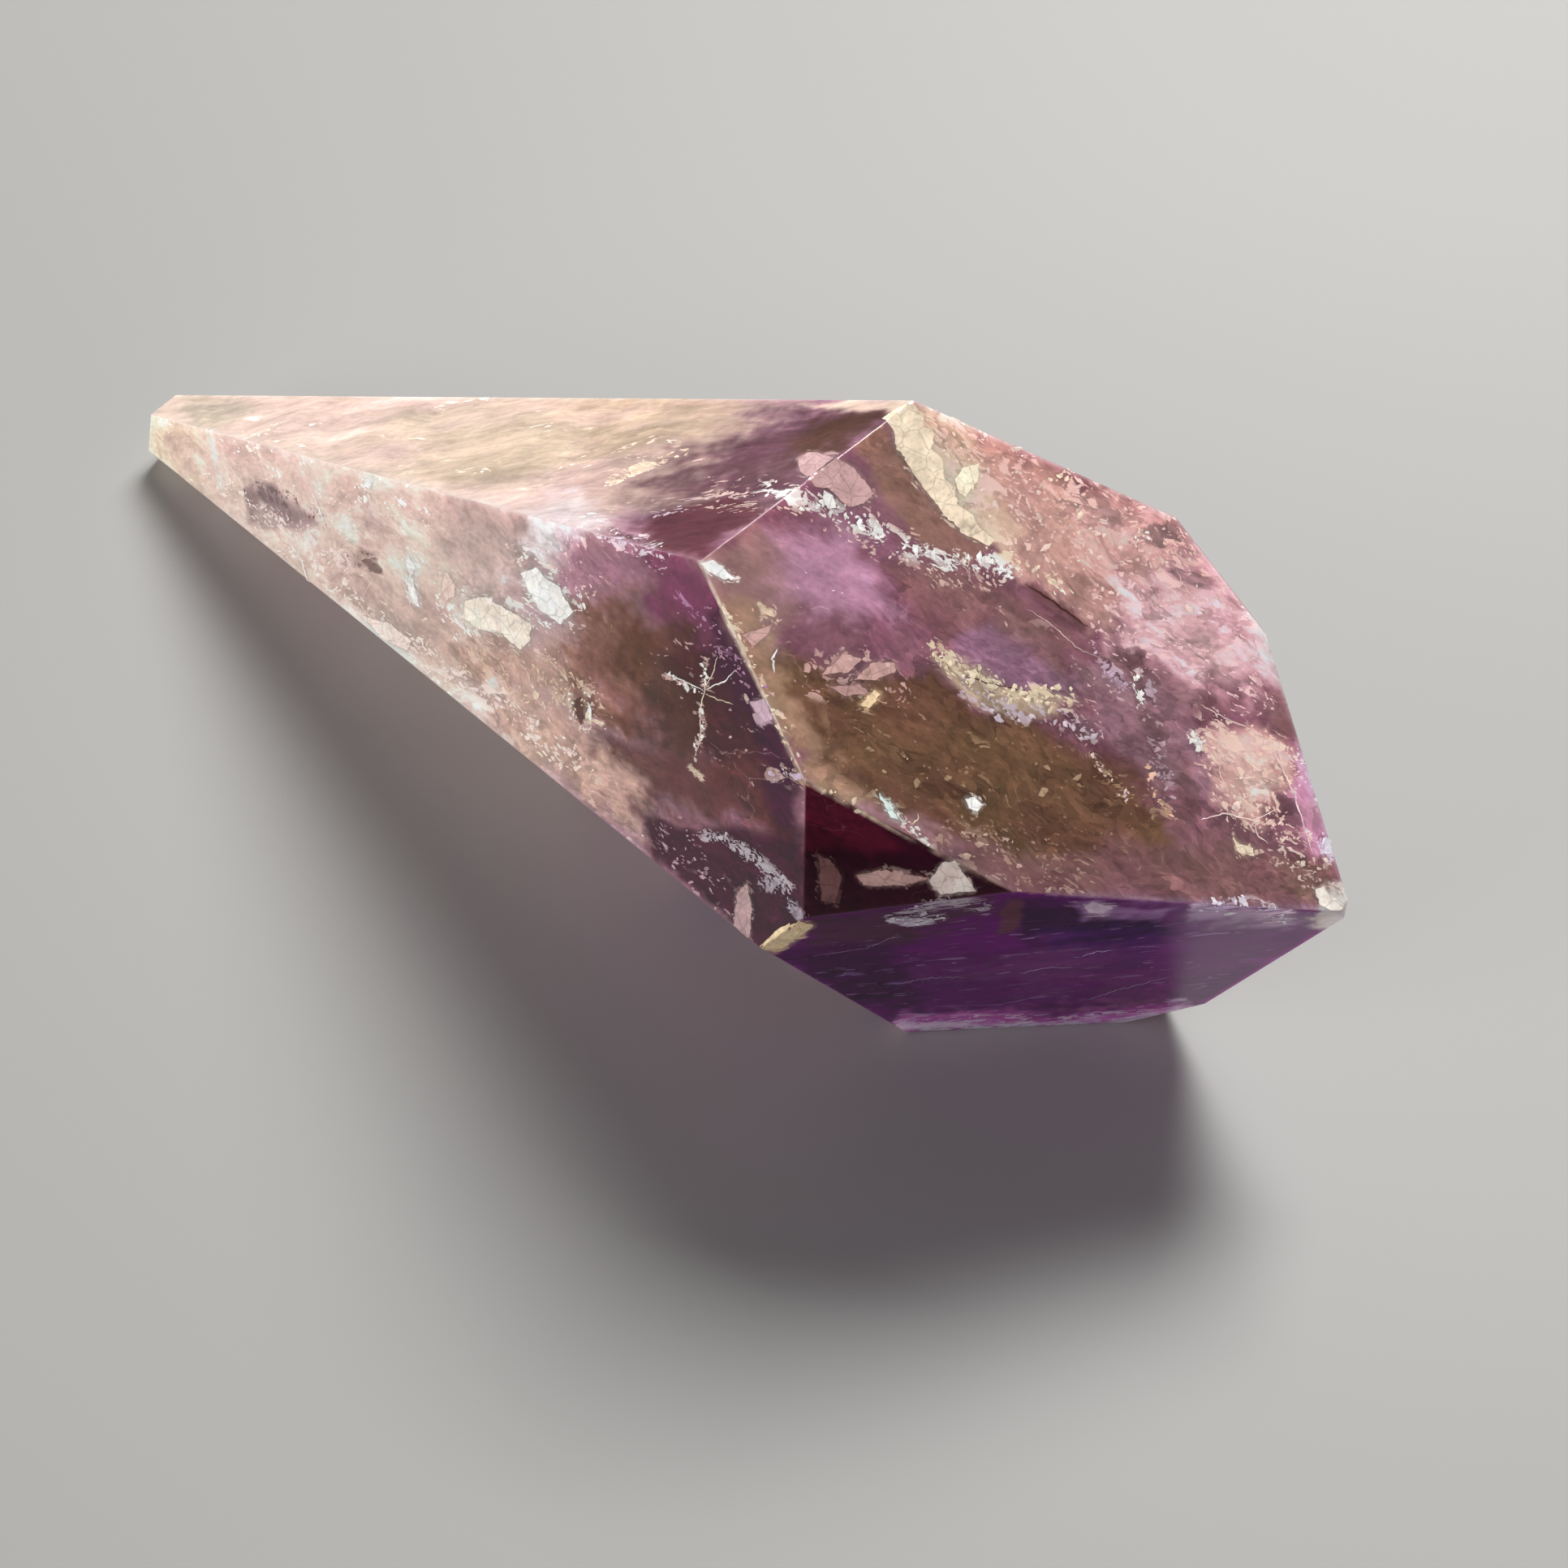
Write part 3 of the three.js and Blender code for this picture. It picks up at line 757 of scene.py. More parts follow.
VEINS = {
    "vein on the top side": Vein(
        [(800, 640), (850, 622), (900, 611), (938, 604)], 8, 0.50, 10, (0.62, 0.48, 0.56)
    ),
    "white dust": Vein(
        [(880, 612), (940, 608), (1030, 632), (1110, 676), (1165, 700), (1230, 705)],
        24, 0.36, 12, MILK_ROSE,
    ),
    "white vein": Vein(
        [(940, 603), (985, 613), (1030, 628), (1060, 645), (1110, 672), (1165, 692), (1215, 688)],
        13, 0.90, 72, WHITE,
    ),
    "end of the vein": Vein([(1205, 680), (1240, 702), (1250, 712)], 11, 1.00, 20, WHITE),
    "tail of the plate": Vein([(1215, 668), (1250, 690), (1302, 716)], 6, 1.00, 20, CREAM),
    "rose speckle": Vein([(1190, 535), (1240, 590), (1300, 640), (1400, 700)], 50, 0.23, 70, MILK_ROSE),
    "rose sparks": Vein([(1282, 602), (1312, 584), (1330, 638)], 9, 0.95, 18, CREAM),
    "right sparks": Vein([(1396, 668), (1408, 658), (1415, 664)], 5, 1.00, 6, WHITE),
    "far right sparks": Vein([(1420, 702), (1450, 684), (1475, 690), (1455, 700)], 10, 0.71, 13, MILK_ROSE),
    "pink sparks": Vein([(1440, 720), (1480, 745), (1520, 720)], 22, 0.25, 15, MILK_ROSE),
    "ridge sparks": Vein([(745, 655), (790, 672), (820, 690)], 14, 0.65, 26, BLUE_WHITE),
    "wisp sparks": Vein([(752, 592), (800, 572), (842, 556)], 6, 0.97, 20, CREAM),
    "star arm left": Vein([(820, 832), (850, 845), (868, 857)], 4, 1.00, 13, WHITE),
    "star arm up": Vein([(870, 815), (868, 850)], 5, 1.00, 11, WHITE),
    "star arm down": Vein([(864, 855), (866, 900), (854, 936)], 4, 1.00, 15, WHITE),
    "star foot": Vein([(848, 944), (868, 962)], 3, 1.00, 4, CREAM),
    "lilac fluff": Vein([(952, 955), (970, 950), (990, 958)], 9, 1.00, 18, (0.62, 0.46, 0.58)),
    "violet sparks": Vein([(850, 735), (880, 790), (935, 860)], 18, 0.24, 20, (0.50, 0.24, 0.42)),
    "corner feather": Vein(
        [(868, 1030), (905, 1040), (945, 1070), (972, 1095)], 8, 1.00, 37, (0.55, 0.48, 0.52)
    ),
    "low corner feather": Vein([(940, 1085), (965, 1105), (985, 1128)], 7, 1.00, 20, (0.45, 0.38, 0.44)),
    "corner sparks": Vein([(830, 1030), (880, 1110), (900, 1140)], 26, 0.20, 20, (0.55, 0.36, 0.4)),
    "slit rim": Vein([(700, 850), (706, 880), (722, 895), (728, 870), (722, 850)], 6, 1.00, 24, WHITE),
    "slit crumbs": Vein([(640, 860), (690, 840), (735, 880)], 20, 0.39, 26, CREAM),
    "cream veil": Vein(
        [(1150, 803), (1195, 830), (1255, 858), (1312, 862)], 15, 0.72, 90, (0.85, 0.72, 0.52)
    ),
    "violet fringe": Vein(
        [(1190, 845), (1225, 875), (1300, 885), (1345, 905)], 14, 0.45, 40, (0.66, 0.54, 0.6)
    ),
    "low drift": Vein([(1345, 930), (1365, 955), (1392, 985)], 6, 0.91, 20, (0.72, 0.52, 0.5)),
    "copper drift": Vein([(1412, 945), (1428, 985), (1445, 1010)], 5, 1.00, 15, (0.8, 0.5, 0.36)),
    # Painted highlights: glints in the cloud.
    "cloud glint high": Vein([(1400, 828), (1404, 868)], 6, 1.00, 13, WHITE),
    "cloud glint low": Vein([(1470, 905), (1482, 925)], 7, 1.00, 13, WHITE),
    "cloud streak one": Vein([(1352, 800), (1370, 830), (1385, 850)], 12, 0.66, 20, (0.6, 0.42, 0.52)),
    "cloud streak two": Vein([(1415, 830), (1420, 900), (1440, 980)], 10, 0.42, 26, (0.5, 0.36, 0.42)),
    "cloud streak three": Vein([(1500, 880), (1510, 960), (1520, 1010)], 10, 0.48, 22, (0.85, 0.62, 0.58)),
    # Painted highlights: glints on the rim.
    "painted rim glints": Vein([(1628, 1020), (1636, 1058)], 7, 1.00, 15, (0.85, 0.75, 0.9)),
    "orange crumbs": Vein([(1510, 985), (1550, 1000), (1600, 1040)], 20, 0.41, 31, (0.92, 0.68, 0.6)),
    # Painted highlights: glints on the face edge.
    "painted edge glints": Vein([(1095, 990), (1120, 1018), (1150, 1045)], 5, 1.00, 11, WHITE),
    "edge crumbs": Vein([(890, 740), (940, 850), (985, 945), (1060, 1000)], 6, 0.34, 33, CREAM),
    "low crumbs": Vein([(1190, 1030), (1240, 1040), (1260, 1075)], 16, 0.35, 15, (0.6, 0.4, 0.34)),
    "smoky flakes": Vein([(1180, 1040), (1240, 1050), (1310, 1078)], 34, 0.28, 14, (0.46, 0.31, 0.25)),
    "olive specks": Vein(
        [(1020, 930), (1150, 950), (1290, 960), (1380, 1010)], 60, 0.10, 24, (0.42, 0.28, 0.17)
    ),
    "tip fan": Vein([(1570, 1045), (1620, 1075), (1650, 1110)], 18, 0.35, 14, (0.78, 0.62, 0.54)),
    "window hatch": Vein([(312, 604), (350, 618), (388, 644)], 17, 0.60, 12, (0.20, 0.13, 0.13)),
    "brown hatch": Vein([(424, 680), (448, 690), (470, 702)], 14, 0.36, 5, (0.17, 0.09, 0.08)),
    "pale hatch": Vein([(330, 640), (372, 655), (420, 690)], 16, 0.40, 8, (0.92, 0.78, 0.74)),
    # Painted highlight: a white streak along the face edge.
    "white highlight streak": Vein([(1095, 1132), (1125, 1138), (1162, 1130)], 5, 1.00, 26, (0.97, 0.93, 0.97)),
    "grey fluff": Vein([(1110, 1130), (1170, 1113), (1212, 1117)], 9, 0.87, 29, (0.6, 0.5, 0.58)),
    "feather net": Vein([(1475, 1124), (1530, 1114), (1585, 1130)], 11, 1.00, 37, (0.92, 0.82, 0.92)),
    # Painted highlights: glints along the bottom edge.
    "painted bottom glints": Vein(
        [(1110, 1258), (1300, 1260), (1400, 1252), (1455, 1238)], 9, 0.95, 37, (0.95, 0.72, 0.95)
    ),
    "plate shards": Vein([(560, 745), (640, 770), (700, 745)], 26, 0.41, 35, WHITE),
    "petal crumbs": Vein([(1010, 835), (1060, 822), (1100, 845)], 26, 0.45, 8, (0.72, 0.46, 0.42)),
    "plate crumbs": Vein([(1150, 515), (1190, 575), (1230, 650)], 26, 0.90, 10, CREAM),
    "heart specks": Vein([(820, 800), (880, 870), (930, 960)], 45, 0.04, 6, (0.62, 0.42, 0.38)),
    "violet streaks": Vein([(1040, 1200), (1280, 1190), (1520, 1170)], 55, 0.08, 6, (0.36, 0.18, 0.44)),
    "orange crackle": Vein([(1510, 920), (1560, 940), (1545, 990)], 42, 0.42, 10, (0.95, 0.70, 0.60)),
    "rose grain": Vein([(1200, 570), (1330, 630), (1430, 690)], 70, 0.30, 10, (0.86, 0.62, 0.56)),
    "pink grain": Vein([(1400, 760), (1480, 790), (1560, 830)], 60, 0.25, 8, (0.90, 0.64, 0.64)),
    "lower edge shards": Vein(
        [(440, 760), (520, 805), (640, 885), (700, 935)], 15, 0.60, 26, (0.95, 0.80, 0.74)
    ),
    "end shards": Vein([(280, 600), (360, 665), (440, 745)], 12, 0.35, 6, (0.95, 0.82, 0.76)),
    "crumbs below the plates": Vein([(600, 810), (660, 830), (710, 860)], 30, 0.38, 48, BEIGE),
}

# Fine bright lines: path in pixels, width in millimetres and colour
Thread = namedtuple("Thread", "path width colour")

THREADS = {
    "window streak": Thread([(383, 603), (392, 625), (402, 655)], 0.21, WHITE),
    "low streak": Thread([(356, 668), (372, 690), (380, 722)], 0.22, WHITE),
    "needle": Thread([(493, 710), (501, 730), (508, 753)], 0.08, WHITE),
    "long crack": Thread([(440, 752), (452, 725), (465, 705)], 0.07, MILK_ROSE),
    "curved glint": Thread([(958, 799), (952, 812), (955, 830)], 0.14, WHITE),
    "hooked glint": Thread([(1130, 1002), (1132, 1010), (1122, 1016)], 0.10, CREAM),
    "branch one": Thread([(1480, 1010), (1510, 1002), (1545, 1011), (1572, 998)], 0.10, (0.95, 0.74, 0.68)),
    "branch two": Thread([(1545, 1010), (1550, 1030), (1562, 1040)], 0.08, (0.95, 0.74, 0.68)),
    "branch three": Thread([(1560, 905), (1572, 930), (1592, 972), (1618, 1052)], 0.11, (0.95, 0.74, 0.7)),
    "branch four": Thread([(1498, 893), (1505, 920), (1502, 950), (1516, 985)], 0.10, (0.9, 0.66, 0.6)),
    "branch five": Thread([(1520, 960), (1555, 957), (1580, 965)], 0.08, (0.95, 0.7, 0.6)),
    "branch six": Thread([(1478, 868), (1510, 885), (1545, 900), (1565, 912)], 0.10, (0.9, 0.66, 0.62)),
    "dark crack one": Thread([(1262, 718), (1300, 743), (1342, 773)], 0.15, UMBER),
    "dark crack two": Thread([(1185, 832), (1230, 845), (1272, 852)], 0.10, UMBER),
    "pale crack": Thread([(1262, 748), (1290, 765), (1330, 800), (1360, 812)], 0.07, (0.75, 0.55, 0.55)),
    "scratch": Thread([(1448, 700), (1460, 722), (1472, 742)], 0.07, MILK_ROSE),
    "violet streak one": Thread([(1332, 1178), (1350, 1173), (1372, 1171)], 0.11, (0.75, 0.6, 0.85)),
    "violet streak two": Thread([(1110, 1212), (1140, 1205), (1190, 1204)], 0.08, (0.5, 0.34, 0.55)),
    "violet streak three": Thread([(1255, 1200), (1290, 1192), (1322, 1192)], 0.10, (0.6, 0.45, 0.68)),
    "violet streak four": Thread([(1000, 1178), (1070, 1168), (1110, 1150)], 0.08, (0.35, 0.22, 0.38)),
    "violet streak five": Thread([(1340, 1232), (1370, 1222), (1440, 1204)], 0.08, (0.5, 0.36, 0.58)),
    "violet streak six": Thread([(1150, 1240), (1230, 1238), (1290, 1226)], 0.07, (0.42, 0.26, 0.46)),
    "star line": Thread([(870, 815), (868, 850), (862, 875), (864, 905), (855, 935)], 0.10, CREAM),
    "star ray left": Thread([(868, 852), (846, 840), (818, 829)], 0.10, WHITE),
    "star ray right": Thread([(868, 850), (892, 840), (906, 826)], 0.09, WHITE),
    "star ray low": Thread([(868, 854), (886, 862), (904, 868)], 0.08, CREAM),
    "star ray high": Thread([(869, 848), (880, 826), (884, 806)], 0.07, CREAM),
    "star foot line": Thread([(846, 943), (858, 950), (870, 963)], 0.10, CREAM),
}

# Clouds of small cracks right through the crystal: middle in millimetres, its two half axes, the height
# of its waves, how many cracks there are and their colour
Veil = namedtuple("Veil", "middle length width wave count colour")

VEILS = {
    "long veil": Veil((-18, 0, 13), (26, -2, 5), (0, 3, 7), 1.6, 1700, (0.85, 0.72, 0.66)),
    "back veil": Veil((12, 6, 18), (20, 3, 4), (-3, 1, 11), 1.8, 1600, (0.8, 0.62, 0.6)),
    "cross veil": Veil((26, -2, 20), (3, 12, 3), (4, 0, 12), 1.5, 1300, (0.72, 0.56, 0.62)),
    "low veil": Veil((18, 0, 8), (22, 2, 2), (1, 11, 1), 1.4, 1500, (0.7, 0.55, 0.55)),
}


def joined(parts):
    """One set of corners, faces and tints from several."""
    corners, faces, tints = [], [], []
    for part_corners, part_faces, part_tints in parts:
        faces.append(np.asarray(part_faces) + sum(len(c) for c in corners))
        corners.append(part_corners)
        tints.append(part_tints)
    return np.vstack(corners), np.vstack(faces), np.vstack(tints)


PLATE_STEP = 4  # pixels between the corners of a plate
PLATE_THICKNESS = 0.05
PLATE_RAGGEDNESS = 0.55  # pixels
RAGGED_RUN = 4  # corners that stray together
RUN_STRAY = 1.2  # of such a run, against that of one corner


def ragged(outline, rng):
    """An outline with its straight sides broken into small uneven steps."""
    ring = np.array(outline, float)
    points = []
    for start, end in zip(ring, np.roll(ring, -1, 0)):
        parts = max(1, round(np.linalg.norm(end - start) / PLATE_STEP))
        points += [start + (end - start) * part / parts for part in range(parts)]
    points = np.array(points)
    coarse = np.repeat(rng.normal(size=(len(points) // RAGGED_RUN + 1, 2)), RAGGED_RUN, 0)[: len(points)]
    return points + (rng.normal(size=points.shape) + RUN_STRAY * coarse) * PLATE_RAGGEDNESS


def rim_of(triangles):
    """The edges of triangles that no other of them shares."""
    edges = np.vstack([triangles[:, [0, 1]], triangles[:, [1, 2]], triangles[:, [2, 0]]]).tolist()
    known = {tuple(edge) for edge in edges}
    return np.array([edge for edge in edges if (edge[1], edge[0]) not in known])


def plate_parts(outline, colour, rng):
    """A thin closed plate in the polished face."""
    facet = seen_facet(outline)
    ring = ragged(outline, rng)
    low, high = ring.min(0), ring.max(0)
    columns, rows = np.meshgrid(*(np.arange(low[i], high[i], PLATE_STEP) for i in range(2)))
    grid = np.stack([columns.ravel(), rows.ravel()], -1)
    grid = grid[within(grid, ring) > PLATE_STEP / 2]
    count = len(ring)
    points = [Vector(point) for point in np.vstack([ring, grid])]
    loop = [(i, (i + 1) % count) for i in range(count)]
    filled = geometry.delaunay_2d_cdt(points, loop, [], WITHIN_OUTLINE, PLATE_GAP)
    points, _, triangles, _, _, _ = filled
    front = on_face(np.array(points), facet)
    behind = front - FACET_NORMALS[facet] * PLATE_THICKNESS * MM
    triangles = np.array(triangles)
    start, end = rim_of(triangles).T
    shift = len(front)
    faces = np.vstack([
        triangles,
        triangles[:, ::-1] + shift,
        np.column_stack([end, start, start + shift]),
        np.column_stack([end, start + shift, end + shift]),
    ])
    lines = fade(np.abs(cloud(front, "lines on plates")), 0.07, 0)
    mottle = 1.03 + 0.16 * cloud(front, "mottle of plates") - 0.25 * lines
    tints = np.array(colour) * mottle[:, None]
    return np.vstack([front, behind]), faces, np.vstack([tints, tints])


FLAKE_SIDES = 5
FLAKE_SLIMNESS = 0.6  # width by length


def flake_parts(places, facing, sizes, thickness, colours, rng):
    """Small flat chips with ragged corners, each a closed solid."""
    count = len(places)
    across = unit(np.cross(facing, rng.normal(size=(count, 3))))
    along = np.cross(facing, across)
    angles = np.arange(FLAKE_SIDES) + rng.uniform(-0.3, 0.3, (count, FLAKE_SIDES))
    angles = angles * math.tau / FLAKE_SIDES
    reach = sizes[:, None] / 2 * MM * rng.uniform(0.45, 1, (count, FLAKE_SIDES))
    ring = places[:, None] + across[:, None] * (reach * np.cos(angles))[..., None]
    ring = ring + along[:, None] * (FLAKE_SLIMNESS * reach * np.sin(angles))[..., None]
    thick = facing * np.reshape(thickness * MM, (-1, 1))
    corners = np.concatenate([ring, (places + thick)[:, None], (places - thick)[:, None]], 1)
    corners = keep_inside(corners.reshape(-1, 3), -CHIP_RISE)
    side = np.arange(FLAKE_SIDES)
    after = (side + 1) % FLAKE_SIDES
    top = np.column_stack([side, after, np.full(FLAKE_SIDES, FLAKE_SIDES)])
    bottom = np.column_stack([after, side, np.full(FLAKE_SIDES, FLAKE_SIDES + 1)])
    faces = np.vstack([top, bottom]) + (np.arange(count) * (FLAKE_SIDES + 2))[:, None, None]
    tints = np.repeat(colours, FLAKE_SIDES + 2, 0)
    return corners, faces.reshape(-1, 3), tints


def along_path(path, count, rng):
    """Points scattered evenly along a path of pixels."""
    path = np.array(path, float)
    lengths = np.linalg.norm(np.diff(path, axis=0), axis=1)
    at = np.sort(rng.uniform(0, lengths.sum(), count))
    ends = np.concatenate([[0], np.cumsum(lengths)])
    return np.stack([np.interp(at, ends, path[:, i]) for i in range(2)], -1)


VEIN_CHIP_THICKNESS = 1.5 * RISE
VEIN_SHADES = (0.85, 1.12)  # the darkest and the lightest chip, by the colour of the vein


def vein_parts(vein, rng):
    """Chips that stand out along a string of small cracks; on the glint strings they are painted
    highlights.
    """
    spread = np.clip(rng.normal(size=(vein.chips, 2)) * 0.5, -1, 1) * vein.width
    pixels = along_path(vein.path, vein.chips, rng) + spread
    facet = facet_distances(sight(pixels)).argmax(1)
    parts = []
    for index in np.unique(facet):
        some = facet == index
        count = some.sum()
        facing = np.tile(FACET_NORMALS[index], (count, 1))
        sizes = CHIP_SIZE * rng.lognormal(-0.1, 0.5, count)
        colours = np.array(vein.colour) * rng.uniform(*VEIN_SHADES, (count, 1))
        places = on_face(pixels[some], index)
        thickness = np.full(count, VEIN_CHIP_THICKNESS)
        parts.append(flake_parts(places, facing, sizes, thickness, colours, rng))
    return joined(parts)


VEIL_CHIP_SIZE = 0.26
VEIL_CHIP_THICKNESS = 0.12  # of its size
VEIL_TRIES = 6  # places that are tried for each chip
VEIL_DEPTH = 1.2  # the least, below the nearest face
VEIL_LOOSENESS = 0.12
VEIL_SHADES = (0.7, 1.1)


def veil_parts(veil, rng):
    """Chips spread thickly and thinly over a wavy sheet."""
    u, v = rng.uniform(-1, 1, (2, veil.count * VEIL_TRIES))
    length, width = np.array(veil.length) * MM, np.array(veil.width) * MM
    flat = np.array(veil.middle) * MM + np.outer(u, length) + np.outer(v, width)
    normal = np.cross(length, width)
    normal /= np.linalg.norm(normal)
    places = flat + np.outer(cloud(flat, "waves of veils") * veil.wave * MM, normal)
    density = cloud(flat, "thickness of veils") - 0.7 * (u * u + v * v)
    depth = (FACET_REACHES - places @ FACET_NORMALS.T).min(1)
    kept = np.flatnonzero((density > -0.1) & (depth > VEIL_DEPTH * MM))[: veil.count]
    places = places[kept] + VEIL_LOOSENESS * MM * rng.normal(size=(len(kept), 3))
    facing = unit(normal + 0.5 * rng.normal(size=(len(kept), 3)))
    sizes = VEIL_CHIP_SIZE * rng.lognormal(0, 0.4, len(kept))
    colours = np.array(veil.colour) * rng.uniform(*VEIL_SHADES, (len(kept), 1))
    return flake_parts(places, facing, sizes, sizes * VEIL_CHIP_THICKNESS, colours, rng)


THREAD_STEP = 4  # pixels
LEAST_RINGS = 4
THREAD_SIDES = 4
THREAD_STRAY = 0.5  # pixels
THREAD_SHADES = (0.85, 1.1)


def thread_parts(thread, rng):
    """A thin closed streak that tapers to both ends."""
    path = np.array(thread.path, float)
    facet = seen_facet(thread.path)
    lengths = np.concatenate([[0], np.cumsum(np.linalg.norm(np.diff(path, axis=0), axis=1))])
    count = max(LEAST_RINGS, round(lengths[-1] / THREAD_STEP))
    at = np.linspace(0, lengths[-1], count + 2)
    pixels = np.stack([np.interp(at, lengths, path[:, i]) for i in range(2)], -1)
    pixels += rng.normal(size=pixels.shape) * THREAD_STRAY
    line = on_face(pixels, facet)
    normal = FACET_NORMALS[facet]
    side = unit(np.cross(unit(np.gradient(line, axis=0)), normal))
    radius = thread.width / 2 * MM * np.sin(np.linspace(0, math.pi, count + 2)) ** 0.5
    radius *= rng.uniform(0.7, 1.2, count + 2)
    middle = slice(1, -1)
    wide = side[middle] * radius[middle, None]
    high = np.broadcast_to(normal * RISE * MM, wide.shape)
    rings = [line[middle] + offset for offset in (wide, high, -wide, -high)]
    corners = np.vstack([np.stack(rings, 1).reshape(-1, 3), line[:1], line[-1:]])
    faces = []
    first, last = count * THREAD_SIDES, count * THREAD_SIDES + 1
    last_ring = first - THREAD_SIDES
    for ring in range(0, last_ring, THREAD_SIDES):
        for j in range(THREAD_SIDES):
            a, b = ring + j, ring + (j + 1) % THREAD_SIDES
            faces += [(a, b, b + THREAD_SIDES), (a, b + THREAD_SIDES, a + THREAD_SIDES)]
    for j in range(THREAD_SIDES):
        after = (j + 1) % THREAD_SIDES
        faces += [(j, first, after), (last_ring + j, last_ring + after, last)]
    tints = np.array(thread.colour) * rng.uniform(*THREAD_SHADES, (len(corners), 1))
    return corners, faces, tints


# Colour of the crystal


def lay(colour, clear, share, shade, clearness):
    """Moves colours and clearness by a share towards a shade and its clearness."""
    colour += (np.array(shade) - colour) * share[:, None]
    clear += (clearness - clear) * share


# The patches of the part towards the point: the shift of their noise, their colour and clearness
PATCHES = [(51, OLIVE, 0.8), (61, VIOLET, 0.75), (71, ROSE, 0.4), (81, PINK_LILAC, 0.3)]


def along_colour(places, near):
    """The colour and clearness of the whole crystal, with soft zones that run through it."""
    share = (places[:, 0] - cad_low.x) / (cad_high.x - cad_low.x)
    share = share + 0.05 * cloud(places, "drift along the crystal")
    stops, colours, clearnesses = zip(*ALONG)
    colour = np.stack([np.interp(share, stops, channel) for channel in zip(*colours)], -1)
    clear = np.interp(share, stops, clearnesses)
    towards_point = fade(share, 0.35, 0.65)
    strength = towards_point * np.where(near, 0.3, 0.9)
    for shift, shade, clearness in PATCHES:
        patch = cloud(places, "patches", shift) + 0.5 * cloud(places, "fine patches", shift)
        lay(colour, clear, fade(patch, 0.0, 0.7) * strength, shade, clearness)
    smoke = fade(cloud(places, "smoke") + 0.4 * cloud(places, "fine smoke"), 0.25, 0.9)
    lay(colour, clear, smoke * (1 - towards_point) * np.where(near, 0.15, 0.6), BROWN, 0.6)
    return colour, clear


# How the fine detail runs on a facet: a pixel there, a pixel towards which it runs, how many times longer
# than wide it is, how far it waves in millimetres, and how broken the crystal is there
Grain = namedtuple("Grain", "start end stretch wave shatter")

GRAINS = {
    "long top side": Grain((400, 560), (800, 505), 4.5, 1.1, 0.7),
    "long front side": Grain((400, 640), (700, 770), 2.0, 0.9, 1.5),
    "top pyramid": Grain((1150, 700), (1550, 950), 1.8, 1.0, 1.5),
    "small front pyramid": Grain((1020, 1010), (1200, 1085), 2.0, 0.6, 1.3),
    "low front pyramid": Grain((1060, 1205), (1500, 1165), 6, 0.5, 0.6),
}
HIDDEN_GRAIN_WAY = (1, 0, 0.2)
HIDDEN_STRETCH = 3
HIDDEN_WAVE = 1.0
HIDDEN_SHATTER = 0.7


def flow_of(places, facet):
    """Coordinates in millimetres, squeezed along the way in which detail runs, and how broken it is."""
    along = np.tile(unit(np.array([HIDDEN_GRAIN_WAY])), (len(places), 1))
    stretch = np.full(len(places), float(HIDDEN_STRETCH))
    wave = np.full(len(places), HIDDEN_WAVE)
    shatter = np.full(len(places), HIDDEN_SHATTER)
    for grain in GRAINS.values():
        index = seen_facet([grain.start])
        first, last = inside([grain.start, grain.end], 0, index, 0)
        some = facet == index
        along[some] = unit((last - first)[None])
        stretch[some] = grain.stretch
        wave[some] = grain.wave
        shatter[some] = grain.shatter
    waves = np.stack([cloud(places, "waves of the flow", shift) for shift in (0, 3, 6)], -1)
    at = places / MM + waves * wave[:, None]
    squeezed = (at * along).sum(1) * (1 - 1 / stretch)
    return at - along * squeezed[:, None], shatter


def shares_in(outline, pixels, facet, low, high):
    """From 0 at the depth low inside an outline to 1 at the depth high, on the facet where it shows."""
    some = facet == seen_facet(outline)
    share = np.zeros(len(pixels))
    share[some] = fade(within(pixels[some], outline), low, high)
    return share


def paint_zones(pixels, facet, wander, colour, clear):
    """The zones of colour, with borders that wander."""
    for outline, shade, clearness, strength, softness in ZONES.values():
        strayed = pixels + wander * (softness + 3)
        share = strength * shares_in(outline, strayed, facet, -softness, softness)
        lay(colour, clear, share, shade, clearness)


def paint_wisps(flow, colour, clear):
    """Milky streaks that run with the detail, and a mottle of light, dark and hue."""
    milk = 1 - clear
    pale = fade(colour.mean(1), 0.08, 0.35)
    broad = cloud(flow * MM, "broad wisps")
    fine = cloud(flow * MM, "fine wisps")
    swirls = cloud(flow * MM, "swirls")
    hue = cloud(flow * MM, "hues")
    lay(colour, clear, fade(-broad, 0.25, 0.9) * milk * pale * 0.3, MAUVE_GREY, 0.4)
    colour *= (1 + 0.22 * fade(broad, 0.3, 1.0) * pale)[:, None]
    lay(colour, clear, fade(swirls, 0.3, 0.9) * pale * clear * 0.25, PINK_LILAC, 0.35)
    colour *= (1 + 0.14 * broad + 0.10 * fine + (0.06 + 0.16 * clear) * swirls)[:, None]
    colour *= 1 + hue[:, None] * (1 - 0.7 * pale[:, None]) * np.array((0.05, -0.07, 0.06))


PLATE_GLOW = 0.45  # the share of a plate's colour in the crystal round it


def paint_round_plates(pixels, facet, wander, colour, clear):
    """A glow of the plates' own colours round them: painted highlight round the glints, painted shade round
    the hole.
    """
    for plate in PLATES.values():
        share = PLATE_GLOW * shares_in(plate.outline, pixels + 2 * wander, facet, -3.5, 1)
        lay(colour, clear, share, plate.colour, 0.25)


def paint_lines(places, pixels, near, colour, clear):
    """Bright and dark lines, broken here and there. The pale lines along the face edges and the bottom edge
    are painted highlights, and the dark line in the ridge slot is painted shade.
    """
    broken = np.clip(0.6 + 0.7 * cloud(places, "gaps in lines"), 0.05, 1)
    for line in LINES.values():
        share = line.strength * fade(from_path(pixels, line.path), line.width * 1.5, line.width * 0.6)
        lay(colour, clear, share * near * broken, line.colour, line.clearness)


